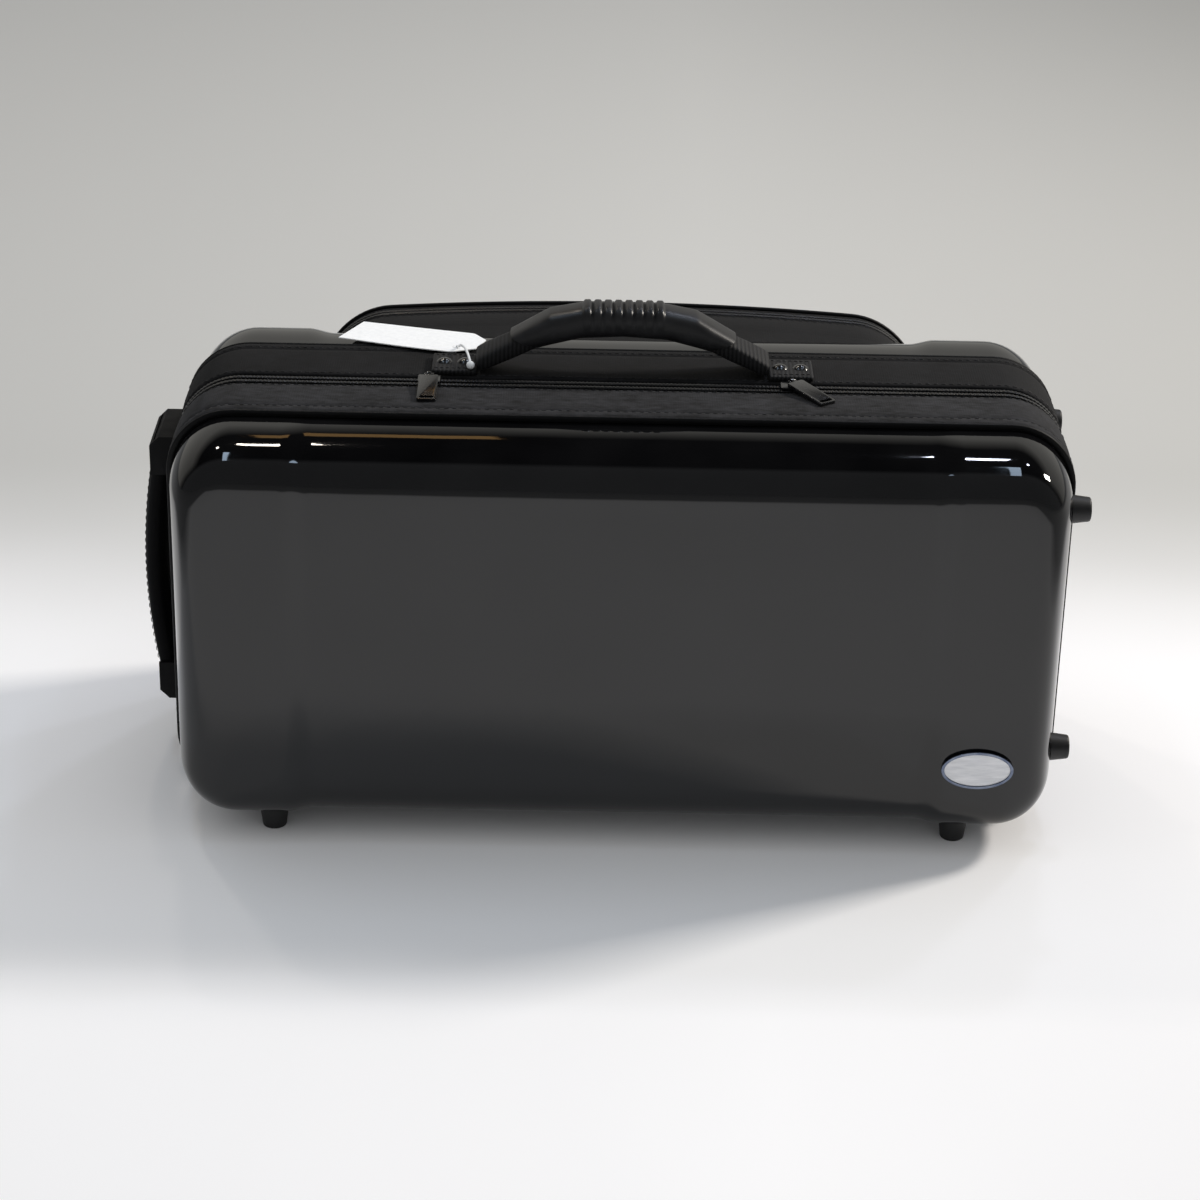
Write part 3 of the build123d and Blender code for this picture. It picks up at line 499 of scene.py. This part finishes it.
def stitchRow(samples, shape, y, grow, side):
    builds, travelled, last = [], 0.0, None
    for sample in samples + samples[:1]:
        x, z = outlinePoint(shape, sample, grow)
        if last:
            run = sqrt((x - last[0]) ** 2 + (z - last[1]) ** 2)
            while travelled < run:
                t = travelled / run
                cx, cz = last[0] + (x - last[0]) * t, last[1] + (z - last[1]) * t
                dx, dz = (x - last[0]) / run, (z - last[1]) / run
                builds.append(stitchAt(cx, side * y, cz, dx, dz, stitch["long"], stitch["thick"]))
                travelled += stitch["pitch"]
            travelled -= run
        last = (x, z)
    return builds


# One stitch: a short thread that lies along (dx, dz), low at both ends.
def stitchAt(x, y, z, dx, dz, length, thick):
    sections = []
    for t in (-0.5, -0.3, 0, 0.3, 0.5):
        lift = 0.4 * thick * (1 - 4 * t * t) - 0.2 * thick
        size = thick * (0.35 if abs(t) == 0.5 else 1)
        ring = []
        for n in range(6):
            turn = 2 * pi * n / 6
            out, along = lift + size * 0.5 * cos(turn), t * length
            ring.append((x + dx * along - dz * out, y + size * 0.5 * sin(turn), z + dz * along + dx * out))
        sections.append(ring)
    return loftOf(sections)


bandSamples = outlineOf(caseOutline)[0]
for half in halves.values():
    word, side, body = half["word"], half["side"], half["body"]
    cloth = sweepRound(caseOutline, bandSamples, bandProfile(half), side)
    makePiece(word + "_band_cloth", *cloth, word + "Band", body, "band_fabric", [word + "_band"], sharp=50)
    seams = stitchRow(bandSamples, caseOutline, half["edge"] - band["seamIn"] + band["stitchIn"], 4.2,
                      side)
    seams += stitchRow(bandSamples, caseOutline, band["zipHalf"] + band["stitchOut"], 4.1, side)
    makePiece(word + "_band_stitches", *joined(seams), "thread", body, "band_fabric")
    loop = [(half["edge"] + 1.25 + a, 2.1 + b) for a, b in loopOf(1.35, 2.05, 2.2, 14)]
    cord = sweepRound(caseOutline, bandSamples, loop, side)
    makePiece(word + "_binding_cord", *cord, "binding", body, "binding_tape", [word + "_binding"])
    tapeEnd, tapeTop = band["zipHalf"] + 0.4, zipper["tapeOut"]
    tapeUnder = tapeTop - zipper["tapeThick"]
    tape = [(zipper["gap"], tapeTop), (tapeEnd, tapeTop), (tapeEnd, tapeUnder), (zipper["gap"], tapeUnder)]
    strip = sweepRound(caseOutline, bandSamples, tape, side, onZip)
    makePiece(word + "_tape_cloth", *strip, "zipTape", body, "zip_tape", [word + "_zip_tape"], sharp=40)
    coilPiece(half)
print("bands and zip made")


handle = {"y": 24, "base": 272, "ribPitch": 6.5, "ribs": 8, "ribTall": 2.0, "slant": 0.8}
# distance from the middle, underside, top and half width, in mm above the base
gripRows = [(0, 25, 43.2, 12.6), (27, 23.4, 43.2, 12.6), (46, 18.6, 39.4, 13), (54, 16.5, 34.6, 13.2),
            (71, 18, 24.6, 12.4)]


def ribLift(x):
    zone = handle["ribPitch"] * handle["ribs"] / 2
    if abs(x) > zone:
        return 0
    phase = (x + zone) / handle["ribPitch"] % 1
    return handle["ribTall"] * smoothStep(min(phase, 1 - phase) / 0.28)


# The sleeve: a flattened tube whose top turns down at the shoulders and whose ends are cut aslant.
def gripPiece():
    xs = evenCuts(-71, -46, 1.6) + evenCuts(-45, -26, 1.6)[:-1] + evenCuts(-26, 26, 0.65)
    xs += evenCuts(26, 45, 1.6)[1:] + evenCuts(46, 71, 1.6)
    sections = []
    for x in xs:
        near = abs(x)
        for (x0, *low), (x1, *high) in zip(gripRows, gripRows[1:]):
            if near <= x1:
                t = (near - x0) / (x1 - x0)
                under, over, wide = [p + (q - p) * t for p, q in zip(low, high)]
                break
        middle, tall = (under + over) / 2, (over - under) / 2
        section = []
        for a, b in loopOf(wide, tall, 3.2, 36):
            upper = smoothStep((b / tall + 0.35) / 0.7)
            push = 1 + ribLift(x) * upper / tall
            wider = 1 + ribLift(x) * upper * 0.35 / wide
            # near the ends the underside stops short of the top
            back = max(0, near - 53.5) * handle["slant"] * (1 - (b / tall + 1) / 2)
            px = copysign(near - back, x)
            section.append((px, handle["y"] + a * wider, handle["base"] + middle + b * push))
        sections.append(section)
    makePiece("moulded_grip", *loftOf(sections), "grip", "carrying_handle", "grip_rubber", ["handle_grip"],
              sharp=32)


# A strip that follows points in the xz plane, with its width along y.
def stripOf(path, y, square):
    sections = []
    for n, (x, z, wide, thick) in enumerate(path):
        x0, z0 = path[max(0, n - 1)][:2]
        x1, z1 = path[min(len(path) - 1, n + 1)][:2]
        run = sqrt((x1 - x0) ** 2 + (z1 - z0) ** 2)
        nx, nz = -(z1 - z0) / run, (x1 - x0) / run
        sections.append([(x + nx * b, y + a, z + nz * b) for a, b in loopOf(wide / 2, thick / 2, square, 24)])
    return loftOf(sections)


def curvePath(knots, count):
    path = []
    for n in range(count + 1):
        t = n / count * (len(knots) - 1)
        i = min(int(t), len(knots) - 2)
        t -= i
        p = [knots[max(0, i - 1)], knots[i], knots[i + 1], knots[min(len(knots) - 1, i + 2)]]
        value = []
        for a, b, c, d in zip(*p):
            value.append(0.5 * (2 * b + (c - a) * t + (2 * a - 5 * b + 4 * c - d) * t * t
                                + (3 * b - a - 3 * c + d) * t ** 3))
        path.append(value)
    return path


# distance from the middle, height, width and thickness, from the foot up into the sleeve
legKnots = [(91.3, 278.4, 27, 8.6), (88, 279.4, 28, 10.4), (80, 283.4, 27, 11.2), (70, 288, 25, 12),
            (60, 293, 23.5, 12.5), (50, 298, 22, 13)]


# Doubled webbing that runs out of the sleeve and is folded under at the foot.
def handleLegs():
    for end, word in ((-1, "left"), (1, "right")):
        path = [(end * x, z, wide, thick) for x, z, wide, thick in curvePath(legKnots, 30)]
        leg = makePiece("handle_leg_" + word, *stripOf(path, handle["y"], 4), "webbingX", None, "webbing",
                        ["handle_webbing"], sharp=50)
        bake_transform(leg)


tab = {"z": 274.05, "wide": 30, "thick": 3.9, "endWide": 28.6, "endThick": 3, "seamY": 11.5,
       "seamTop": 276.1, "firstX": 95.5, "stitches": 7, "pitch": 3.6}


def tabPiece():
    builds, seams = [], []
    for end in (-1, 1):
        path = [(end * x, tab["z"], tab["wide"], tab["thick"]) for x in (92.6, 94, 100, 106, 112, 118, 119.4)]
        path = [(end * 92, tab["z"], tab["endWide"], tab["endThick"])] + path
        path.append((end * 120, tab["z"], tab["endWide"], tab["endThick"]))
        builds.append(stripOf(path, handle["y"], 6))
        for row in (-tab["seamY"], tab["seamY"]):
            for n in range(tab["stitches"]):
                x = end * (tab["firstX"] + n * tab["pitch"])
                seams.append(stitchAt(x, handle["y"] + row, tab["seamTop"], 1, 0, 2.6, 0.5))
    makePiece("handle_tab_webbing", *joined(builds), "webbingX", "body_half", "webbing", ["handle_tabs"],
              sharp=60)
    makePiece("handle_tab_stitches", *joined(seams), "thread", "body_half", "webbing")


gripPiece()
handleLegs()
tabPiece()
print("carrying handle made")


# mm; inner is how much more the pad swells towards the case, padEnd to seamDeep are shares of its size
strap = {"x": -280, "y": 34, "z": 133, "long": 186, "reach": 27, "endReach": 17, "thick": 7.2, "puff": 2.6,
         "inner": 1.0, "wide": 44, "padEnd": 0.86, "padFade": 0.12, "seamAt": 0.8, "seamWide": 0.08,
         "seamDeep": 0.25, "stitchY": 17.5, "stitches": 26, "pitch": 5.2}


def sideStrap():
    half, bow = strap["long"] / 2 - 2.5, strap["reach"] - strap["endReach"]
    halfWide, seamWide = strap["wide"] / 2, strap["seamWide"]
    sections, stitches = [], []
    for t in evenCuts(-half, half, 6):
        s = t / half
        reach = strap["endReach"] + bow * (1 - s * s)
        slope = -2 * s * bow / half
        size = sqrt(1 + slope * slope)
        dx, dz = -1 / size, -slope / size
        padded = smoothStep((strap["padEnd"] - abs(s)) / strap["padFade"])
        thick = (strap["thick"] + strap["puff"] * padded) / 2
        section = []
        for a, b in loopOf(halfWide, thick, 2.6 + 1.2 * (1 - padded), 32):
            edge = abs(a) / halfWide
            pinch = 1 - strap["seamDeep"] * padded * max(0, 1 - abs(edge - strap["seamAt"]) / seamWide)
            if b < 0:
                pinch *= 1 + strap["inner"] * padded
            b *= pinch
            section.append((strap["x"] - reach + 5 + dx * b, strap["y"] + a, strap["z"] + t + dz * b))
        sections.append(section)
    pad = makePiece("side_handle_pad", *loftOf(sections), "sideHandle", "body_half", "side_handle_fabric",
                    ["side_handle_strap"], sharp=60)
    for row in (-strap["stitchY"], strap["stitchY"]):
        for n in range(strap["stitches"]):
            t = (n - (strap["stitches"] - 1) / 2) * strap["pitch"]
            reach = strap["endReach"] + bow * (1 - (t / half) ** 2)
            x = strap["x"] - reach + 5 - 3.9
            stitches.append(stitchAt(x, strap["y"] + row, strap["z"] + t, 0, 1, 3.4, 0.5))
    makePiece("side_handle_stitches", *joined(stitches), "thread", "body_half", "side_handle_fabric")


sideStrap()
print("side handle made")


pocketOutline = {"length": 400, "height": 212, "radius": 45, "midZ": 150, "step": 8, "crown": 9}
# mm; row is how far the cloth stops short of the zip's seam on either side, footIn the same below the
# ends of the zip, where the cloth lies inside the outline by foldIn
pocket = {"seam": 152.5, "back": 166.5, "wallStart": 93.5, "row": 4, "footTop": 94, "dome": 2.2,
          "cloth": 2.5, "foldIn": 0.02, "footIn": 1.95}


def pocketPieces():
    samples = outlineOf(pocketOutline, cornerSteps=16)[0]
    y0, y1 = pocket["wallStart"], pocket["seam"] - pocket["row"]
    inner, fold, footIn = -pocket["cloth"], -pocket["foldIn"], pocket["footIn"]
    wall = [(y0, inner), (y0, 0)]
    for n in range(1, 12):
        y = 118 + (y1 - 118) * n / 12
        wall.append((y, 0.9 * sin(pi * n / 12)))
    wall += [(y1 - 2.6, 0.0), (y1 - 1.9, -0.6), (y1 - 1.2, 0.1), (y1 - 0.3, 0.1), (y1, -0.4), (y1, inner)]

    # cloth that carries on below the ends of the zip
    def footWall(low, high):
        strip = [(low, inner), (low, fold), (high, fold), (high, inner)]
        return sweepRound(pocketOutline, samples, strip, 1, lambda x, z: z <= pocket["footTop"] + 2)

    build = joined([sweepRound(pocketOutline, samples, wall), footWall(y1 - 1, pocket["seam"] - footIn)])
    makePiece("pocket_gusset", *build, "pocket", "body_half", "pocket_fabric", ["pocket_wall"], sharp=50)

    for name, node, low, high, body in (
            ("pocket_zip_teeth_fixed", "pocket_fixed_row", -4.0, -0.8, "body_half"),
            ("pocket_zip_teeth_cover", "pocket_cover_row", 0.8, 4.0, "pocket_cover")):
        teeth = teethRound(pocketOutline, 56, (pocket["seam"] + (low + high) / 2, 0), ((high - low) / 2, 1.0),
                           2.6, 1, lambda x, z: z > pocket["footTop"], 0.3, (0, 1))
        makePiece(name, *teeth, "coil", body, "zip_teeth", [node], sharp=35)

    start, back = pocket["seam"] + pocket["row"], pocket["back"]
    xs, zs = evenCuts(-155, 155, 7.75), evenCuts(-61, 61, 6.1)
    rings = [(start, inner), (start, -0.3), (start + 0.4, 0), (back - 5.2, 0), (back - 4.4, -0.4),
             (back - 3.4, -0.5)]
    for n in range(1, 9):
        turn = pi / 2 * n / 8
        rings.append((back - 3 + 3 * sin(turn) * 0.98, -0.4 - 3.4 * (1 - cos(turn))))
    rings += [(back - 0.1, -5), (back - 0.55, -6), (back - 0.1, -7), (back - 0.05, -12), (back - 0.05, -20),
              (back - 0.05, -32), (back - 0.05, -45)]

    def swell(x, y, z):
        across = max(0, 1 - (x / 190) ** 2) * max(0, 1 - ((z - 150) / 99) ** 2)
        crease = 0.5 * sin(x / 37 + z / 29) + 0.35 * sin(z / 17 - x / 60)
        if y > back - 1:
            y += across * (pocket["dome"] + crease)
        return x, y, z

    skin = trayOf(pocketOutline, xs, zs, rings, swell, 16)
    build = joined([skin, footWall(start + 0.5, pocket["seam"] + footIn)])
    makePiece("pocket_cover_cloth", *build, "pocket", "pocket_cover", "pocket_fabric", ["pocket_cover"],
              sharp=55)
    loop = [(back - 4 + a, 0.75 + b) for a, b in loopOf(1.3, 1.3, 2, 12)]
    cord = sweepRound(pocketOutline, samples, loop)
    makePiece("pocket_piping_cord", *cord, "binding", "pocket_cover", "binding_tape", ["pocket_piping"])
    seam = stitchRow(samples, pocketOutline, start + 2.2, 0.1, 1)
    makePiece("pocket_cover_stitches", *joined(seam), "thread", "pocket_cover", "pocket_fabric")
    seam = stitchRow(samples, pocketOutline, y1 - 3.6, 0.35, 1)
    makePiece("pocket_gusset_stitches", *joined(seam), "thread", "body_half", "pocket_fabric")


pocketPieces()
print("pocket made")


# A copy of a frame piece whose hard edges are rounded over.
def easedCopy(node, name, look, body, slotName, width):
    mesh = nodes[node].data.copy()
    mesh.name = name
    shape = bmesh.new()
    shape.from_mesh(mesh)
    bmesh.ops.remove_doubles(shape, verts=shape.verts, dist=2e-6)
    bmesh.ops.dissolve_limit(shape, angle_limit=radians(2), verts=shape.verts, edges=shape.edges)
    hard = [e for e in shape.edges if len(e.link_faces) == 2 and e.calc_face_angle(0) > radians(35)]
    bmesh.ops.bevel(shape, geom=hard, offset=width / 1000, segments=2, profile=0.6, affect="EDGES",
                    clamp_overlap=True)
    bmesh.ops.recalc_face_normals(shape, faces=shape.faces)
    shape.to_mesh(mesh)
    shape.free()
    dressPiece(name, mesh, look, body, slotName, [node], 40)


# Foam covered in cloth: the piece is remeshed, softened and smoothed, so no edge is crisp.
def plushCopy(node, name, body, voxelMm, passes, pad):
    mesh = nodes[node].data.copy()
    mesh.name = name
    piece = dressPiece(name, mesh, "velour", body, "plush", [node])
    remesh = piece.modifiers.new("remesh", "REMESH")
    remesh.mode = "VOXEL"
    remesh.voxel_size = voxelMm / 1000
    soften = piece.modifiers.new("soften", "SMOOTH")
    soften.factor = 0.5
    soften.iterations = passes
    graph = bpy.context.evaluated_depsgraph_get()
    baked = bpy.data.meshes.new_from_object(piece.evaluated_get(graph))
    piece.modifiers.clear()
    piece.data = baked
    baked.name = name
    baked.materials.clear()
    baked.materials.append(looks["velour"])
    baked.polygons.foreach_set("use_smooth", [True] * len(baked.polygons))


# mm rounded off the sliders and the pulls
for word, onSlider, onPull in (("left", 0.4, 0.45), ("right", 0.4, 0.45), ("pocket", 0.3, 0.4)):
    slider, pull = word + "_slider", word + "_pull"
    easedCopy(slider, slider + "_body", "enamel", slider, "zip_metal", onSlider)
    easedCopy(pull, pull + "_tab", "enamel", pull, "zip_metal", onPull)
eased = [
    ("side_handle_caps", "side_handle_end_caps", "cap", "body_half", "moulded_caps", 1.2),
    ("badge_frame", "badge_bezel", "bezel", "lid_half", "badge_rim", 0.5),
    ("handle_plates", "handle_backing_plates", "enamel", "body_half", "rivet_metal", 0.4),
    ("rear_zip_stops", "rear_zip_end_stops", "enamel", "body_half", "zip_teeth", 0.3),
    ("front_zip_stops", "front_zip_end_stops", "enamel", "lid_half", "zip_teeth", 0.3),
    ("strap_anchors", "strap_anchor_webbing", "webbingZ", "body_half", "webbing", 0.5),
    ("upper_strap", "upper_holding_strap", "webbingZ", "upper_strap", "webbing", 0.6),
    ("lower_strap", "lower_holding_strap", "webbingZ", "lower_strap", "webbing", 0.6),
    ("rear_hinge_leaf", "rear_hinge_cloth", "rearBand", "body_half", "band_fabric", 0.5),
    ("front_hinge_leaf", "front_hinge_cloth", "rearBand", "lid_half", "band_fabric", 0.5),
]
for row in eased:
    easedCopy(*row)

plush = [
    ("rear_lining", "rear_lining_velour", "body_half", 4, 2, False),
    ("front_lining", "front_lining_velour", "lid_half", 4, 2, False),
    ("centre_divider", "centre_divider_foam", "body_half", 2, 6, True),
    ("bell_cradles", "bell_cradle_foam", "body_half", 2.5, 6, True),
    ("valve_cradles", "valve_cradle_foam", "body_half", 2.5, 6, True),
    ("mouthpipe_rests", "mouthpipe_rest_foam", "body_half", 2, 5, True),
    ("accessory_box", "accessory_box_velour", "body_half", 1.2, 3, False),
    ("accessory_lid", "accessory_lid_velour", "accessory_lid", 1, 3, False),
    ("mouthpiece_rack", "mouthpiece_rack_foam", "body_half", 1.5, 4, True),
    ("lid_pad", "lid_pad_foam", "lid_half", 2.5, 6, True),
]
for row in plush:
    plushCopy(*row)

kept = {
    "badge": ["badge_plate"],
    "bumper": ["front_bottom_feet", "rear_bottom_feet", "front_end_feet", "rear_end_feet"],
    "enamel": ["handle_rivets", "side_handle_rivets"],
    "binding": ["hinge_welt", "pocket_hinge_welt"],
    "string": ["tag_lock"],
}
for look, names in kept.items():
    for name in names:
        data = nodes[name].data
        data.materials.clear()
        data.materials.append(looks[look])
print("frame pieces finished")


tag = {"x": -91, "y": 62, "z": 272.6, "turn": 163, "slope": 5, "long": 89, "wide": 45, "thick": 0.6,
       "chamfer": 12, "eye": 2.2, "curl": 1.6, "flat": 20}
stringRoute = [(-105.6, 54.3, 273.5), (-104.3, 49.5, 277), (-102, 41, 280.5), (-99.3, 30, 282.4),
               (-97, 18, 282.2), (-95.5, 12.5, 279.2)]


def tagPiece():
    turn = Matrix.Translation((tag["x"], tag["y"], tag["z"]))
    turn = turn @ Matrix.Rotation(radians(-tag["slope"]), 4, "X")
    turn = turn @ Matrix.Rotation(radians(tag["turn"]), 4, "Z")
    half, cut = tag["wide"] / 2, tag["chamfer"]
    eye = (cut, half - cut)
    xs = evenCuts(0, tag["long"], 2.2)
    points, faces, index = [], [], {}

    def corner(x, v, level):
        limit = half - max(0, cut - x)
        y = v * limit
        curled = smoothStep((x - tag["flat"]) / (tag["long"] - tag["flat"])) * x / tag["long"]
        lift = tag["curl"] * curled * (0.6 + 0.4 * v)
        return tuple(turn @ Vector((x, y, lift + level * tag["thick"])))

    rows = evenCuts(-1, 1, 0.1)
    for level in (0, 1):
        for i, x in enumerate(xs):
            for j, v in enumerate(rows):
                index[level, i, j] = len(points)
                points.append(corner(x, v, level))
    for i in range(len(xs) - 1):
        for j in range(len(rows) - 1):
            centreX = (xs[i] + xs[i + 1]) / 2
            centreY = (rows[j] + rows[j + 1]) / 2 * (half - max(0, cut - centreX))
            if (centreX - eye[0]) ** 2 + (centreY - eye[1]) ** 2 < tag["eye"] ** 2:
                continue
            for level in (0, 1):
                faces.append([index[level, i, j], index[level, i + 1, j], index[level, i + 1, j + 1],
                              index[level, i, j + 1]])
    border = [(i, 0) for i in range(len(xs))] + [(len(xs) - 1, j) for j in range(len(rows))]
    border += [(i, len(rows) - 1) for i in reversed(range(len(xs)))]
    border += [(0, j) for j in reversed(range(len(rows)))]
    for a, b in zip(border, border[1:]):
        if a != b:
            faces.append([index[(0, *a)], index[(0, *b)], index[(1, *b)], index[(1, *a)]])
    makePiece("hang_tag_card", points, faces, "card", "body_half", "tag_card", ["hang_tag"], sharp=40)
    eyeletPoints = []
    for n in range(28):
        angle = 2 * pi * n / 28
        for out, up in ((2.2, -0.05), (3.4, -0.05), (3.4, 0.75), (2.2, 0.75)):
            spot = Vector((eye[0] + out * cos(angle), eye[1] + out * sin(angle), up))
            eyeletPoints.append(tuple(turn @ spot))
    around = [(n * 4 + j, n * 4 + (j + 1) % 4, (n + 1) % 28 * 4 + (j + 1) % 4, (n + 1) % 28 * 4 + j)
              for n in range(28) for j in range(4)]
    return makePiece("hang_tag_eyelet", eyeletPoints, around, "string", "body_half", "tag_plastic", sharp=40)


def stringPiece(eyelet):
    curve = bpy.data.curves.new("tag_loop", "CURVE")
    curve.dimensions = "3D"
    curve.bevel_depth = 0.0008  # half the string's diameter
    curve.bevel_resolution = 3
    curve.use_fill_caps = True
    line = curve.splines.new("NURBS")
    line.points.add(len(stringRoute) - 1)
    for point, place in zip(line.points, stringRoute):
        point.co = (*toFrame(*place), 1)
    line.order_u = 3
    line.use_endpoint_u = True
    curve.materials.append(looks["string"])
    cord = addObject("tag_loop", curve)
    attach(cord, "body_half")
    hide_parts("tag_string")


stringPiece(tagPiece())
print("hang tag made")


# distances in metres; cloth and far colours are given at the left and the right of the case, the white cloth
# painted darker to the right and grey behind the case as painted shade
floor = {"cloth": ("#fcfcfe", "#cdcdd0"), "far": ("#bdbdbb", "#989896"), "sideways": (0.1, 1.0),
             "fadeStart": 0.14, "fadeEnd": 0.54, "edge": 0.92, "edgeBow": 0.9, "edgeSoft": 0.14,
             "side": 0.62, "sideSoft": 0.1, "dark": "#88898b", "driftMm": 400, "drift": 0.12, "foldMm": 260,
             "foldDepth": 0.005}


def stageFloor():
    mat, tree, shader, place = startMaterial("cotton cloth, washed white")
    split = addNode(tree, "SeparateXYZ", {"Vector": place})
    x, y = split.outputs["X"], split.outputs["Y"]
    drift = addNode(tree, "TexNoise", {"Vector": place, "Scale": 1000 / floor["driftMm"], "Detail": 2})
    drifted = addNode(tree, "Math", {0: drift, 1: floor["drift"], 2: y}, operation="MULTIPLY_ADD")
    # painted shade: the cloth turns grey behind the case, and below it darkens towards the right
    fade = addNode(tree, "MapRange", {"Value": drifted, "From Min": floor["fadeStart"],
                                      "From Max": floor["fadeEnd"]}, interpolation_type="SMOOTHSTEP")
    rightward = addNode(tree, "MapRange", {"Value": x, "From Min": floor["sideways"][0],
                                           "From Max": floor["sideways"][1]})
    near, far = [addNode(tree, "Mix", {"Factor": rightward, 6: fromHex(left), 7: fromHex(right)},
                         data_type="RGBA") for left, right in (floor["cloth"], floor["far"])]
    cloth = addNode(tree, "Mix", {"Factor": fade, 6: near.outputs[2], 7: far.outputs[2]}, data_type="RGBA")
    # In the gloss of the case the cloth ends at the table's edge, which bows, and the room beyond is dark.
    squared = addNode(tree, "Math", {0: x, 1: x}, operation="MULTIPLY")
    bowed = addNode(tree, "Math", {0: squared, 1: floor["edgeBow"], 2: y}, operation="MULTIPLY_ADD")
    beyond = addNode(tree, "MapRange", {"Value": bowed, "From Min": -floor["edge"],
                                        "From Max": -floor["edge"] - floor["edgeSoft"]})
    sideways = addNode(tree, "Math", {0: x}, operation="ABSOLUTE")
    beside = addNode(tree, "MapRange", {"Value": sideways, "From Min": floor["side"],
                                        "From Max": floor["side"] + floor["sideSoft"]})
    off = addNode(tree, "Math", {0: beyond, 1: beside}, operation="MAXIMUM")
    gloss = addNode(tree, "LightPath").outputs["Is Glossy Ray"]
    seenDark = addNode(tree, "Math", {0: off, 1: gloss}, operation="MULTIPLY")
    tone = addNode(tree, "Mix", {"Factor": seenDark, 6: cloth.outputs[2], 7: fromHex(floor["dark"])},
                   data_type="RGBA")
    stretched = addNode(tree, "Mapping", {"Vector": place, "Scale": (1, 0.5, 1)})
    folds = addNode(tree, "TexNoise", {"Vector": stretched, "Scale": 1000 / floor["foldMm"], "Detail": 2,
                                       "Roughness": 0.4})
    bump = addNode(tree, "Bump", {"Height": folds, "Distance": floor["foldDepth"], "Strength": 0.6})
    feedNode(tree, shader, {"Base Color": tone.outputs[2], "Roughness": 0.95, "Normal": bump,
                            "Specular IOR Level": 0.1, "Sheen Weight": 0.1})
    mesh = bpy.data.meshes.new("studio_floor")
    mesh.from_pydata([(-6, -6, 0), (6, -6, 0), (6, 9, 0), (-6, 9, 0)], [], [(0, 1, 2, 3)])
    mesh.materials.append(mat)
    addObject("studio_floor", mesh)


# place, target and size in metres
lamps = {
    "key_softbox": ((2.0, 0.74, 1.58), (0, 0, 0.1), (0.36, 0.36), 46, "#fff8ee"),
    "left_tube": ((-0.54, 0.15, 2.1), (-0.54, 0.15, 0), (0.1, 0.9), 2.0, "#cfe6ff"),
    "right_tube": ((0.56, 0.15, 2.1), (0.56, 0.15, 0), (0.12, 0.9), 2.2, "#cfe6ff"),
    "ceiling_lamp_left": ((-0.9, 1.1, 2.1), (0, 0, 0.2), (0.11, 0.11), 3.0, "#fff4e6"),
    "ceiling_lamp_left_back": ((-0.42, 1.25, 2.1), (0, 0, 0.2), (0.1, 0.1), 2.4, "#fff4e6"),
    "ceiling_lamp_right": ((0.5, 1.2, 2.1), (0, 0, 0.2), (0.11, 0.11), 3.0, "#e6ecff"),
    "ceiling_lamp_far_right": ((1.0, 1.0, 2.1), (0, 0, 0.2), (0.11, 0.11), 3.0, "#e6ecff"),
    "warm_strip": ((-0.29, 1.6, 1.75), (-0.16, -0.11, 0.27), (0.32, 0.14), 0.36, "#b08a58"),
}
# the room's tones, and between which directions the back wall starts, ends above and gives way in front
roomLook = {"soft": "#eceded", "strength": 0.62, "dark": "#050505", "wall": "#88898b", "pale": "#d4d2cc",
            "spans": (("Y", 0.05, 0.4), ("Z", 0.64, 0.46), ("Y", 0.12, -0.1))}


def areaLight(name, place, target, size, power, colour):
    data = bpy.data.lights.new(name, "AREA")
    data.shape = "RECTANGLE"
    data.size, data.size_y = size
    data.energy = power
    data.color = fromHex(colour)[:3]
    lamp = addObject(name, data)
    lamp.location = place
    lamp.rotation_euler = (Vector(target) - Vector(place)).to_track_quat("-Z", "Y").to_euler()


# Even soft light all round, and for what the gloss mirrors a dark room with a pale back wall.
def studioWorld():
    world = bpy.data.worlds.new("soft room")
    bpy.context.scene.world = world
    world.use_nodes = True
    tree = world.node_tree
    direction = addNode(tree, "TexCoord").outputs["Generated"]
    split = addNode(tree, "SeparateXYZ", {"Vector": direction})
    behind, low, wall = [addNode(tree, "MapRange", {"Value": split.outputs[axis], "From Min": start,
                                                    "From Max": end})
                         for axis, start, end in roomLook["spans"]]
    front = addNode(tree, "Mix", {"Factor": wall, 6: fromHex(roomLook["dark"]), 7: fromHex(roomLook["wall"])},
                    data_type="RGBA")
    onWall = addNode(tree, "Math", {0: behind, 1: low}, operation="MULTIPLY")
    room = addNode(tree, "Mix", {"Factor": onWall, 6: front.outputs[2], 7: fromHex(roomLook["pale"])},
                   data_type="RGBA")
    gloss = addNode(tree, "LightPath").outputs["Is Glossy Ray"]
    sky = addNode(tree, "Mix", {"Factor": gloss, 6: fromHex(roomLook["soft"]), 7: room.outputs[2]},
                  data_type="RGBA")
    feedNode(tree, tree.nodes["Background"], {"Color": sky.outputs[2], "Strength": roomLook["strength"]})


cameraFit = {"place": (-21.8, -1840.5, 1002.5), "pitchDown": 25.56, "yaw": 0.33, "roll": 1.23, "lens": 94.76}


def studioCamera():
    data = bpy.data.cameras.new("camera")
    data.lens = cameraFit["lens"]
    data.sensor_width = 36
    data.clip_end = 30
    camera = addObject("camera", data)
    turn = Euler((radians(90 - cameraFit["pitchDown"]), 0, radians(-cameraFit["yaw"]))).to_matrix().to_4x4()
    roll = Matrix.Rotation(radians(cameraFit["roll"]), 4, "Z")
    camera.matrix_world = Matrix.Translation(toFrame(*cameraFit["place"])) @ turn @ roll
    bpy.context.scene.camera = camera


stageFloor()
for name, row in lamps.items():
    areaLight(name, *row)
studioWorld()
studioCamera()
bpy.context.scene.view_settings.view_transform = "Standard"
print("stage set")
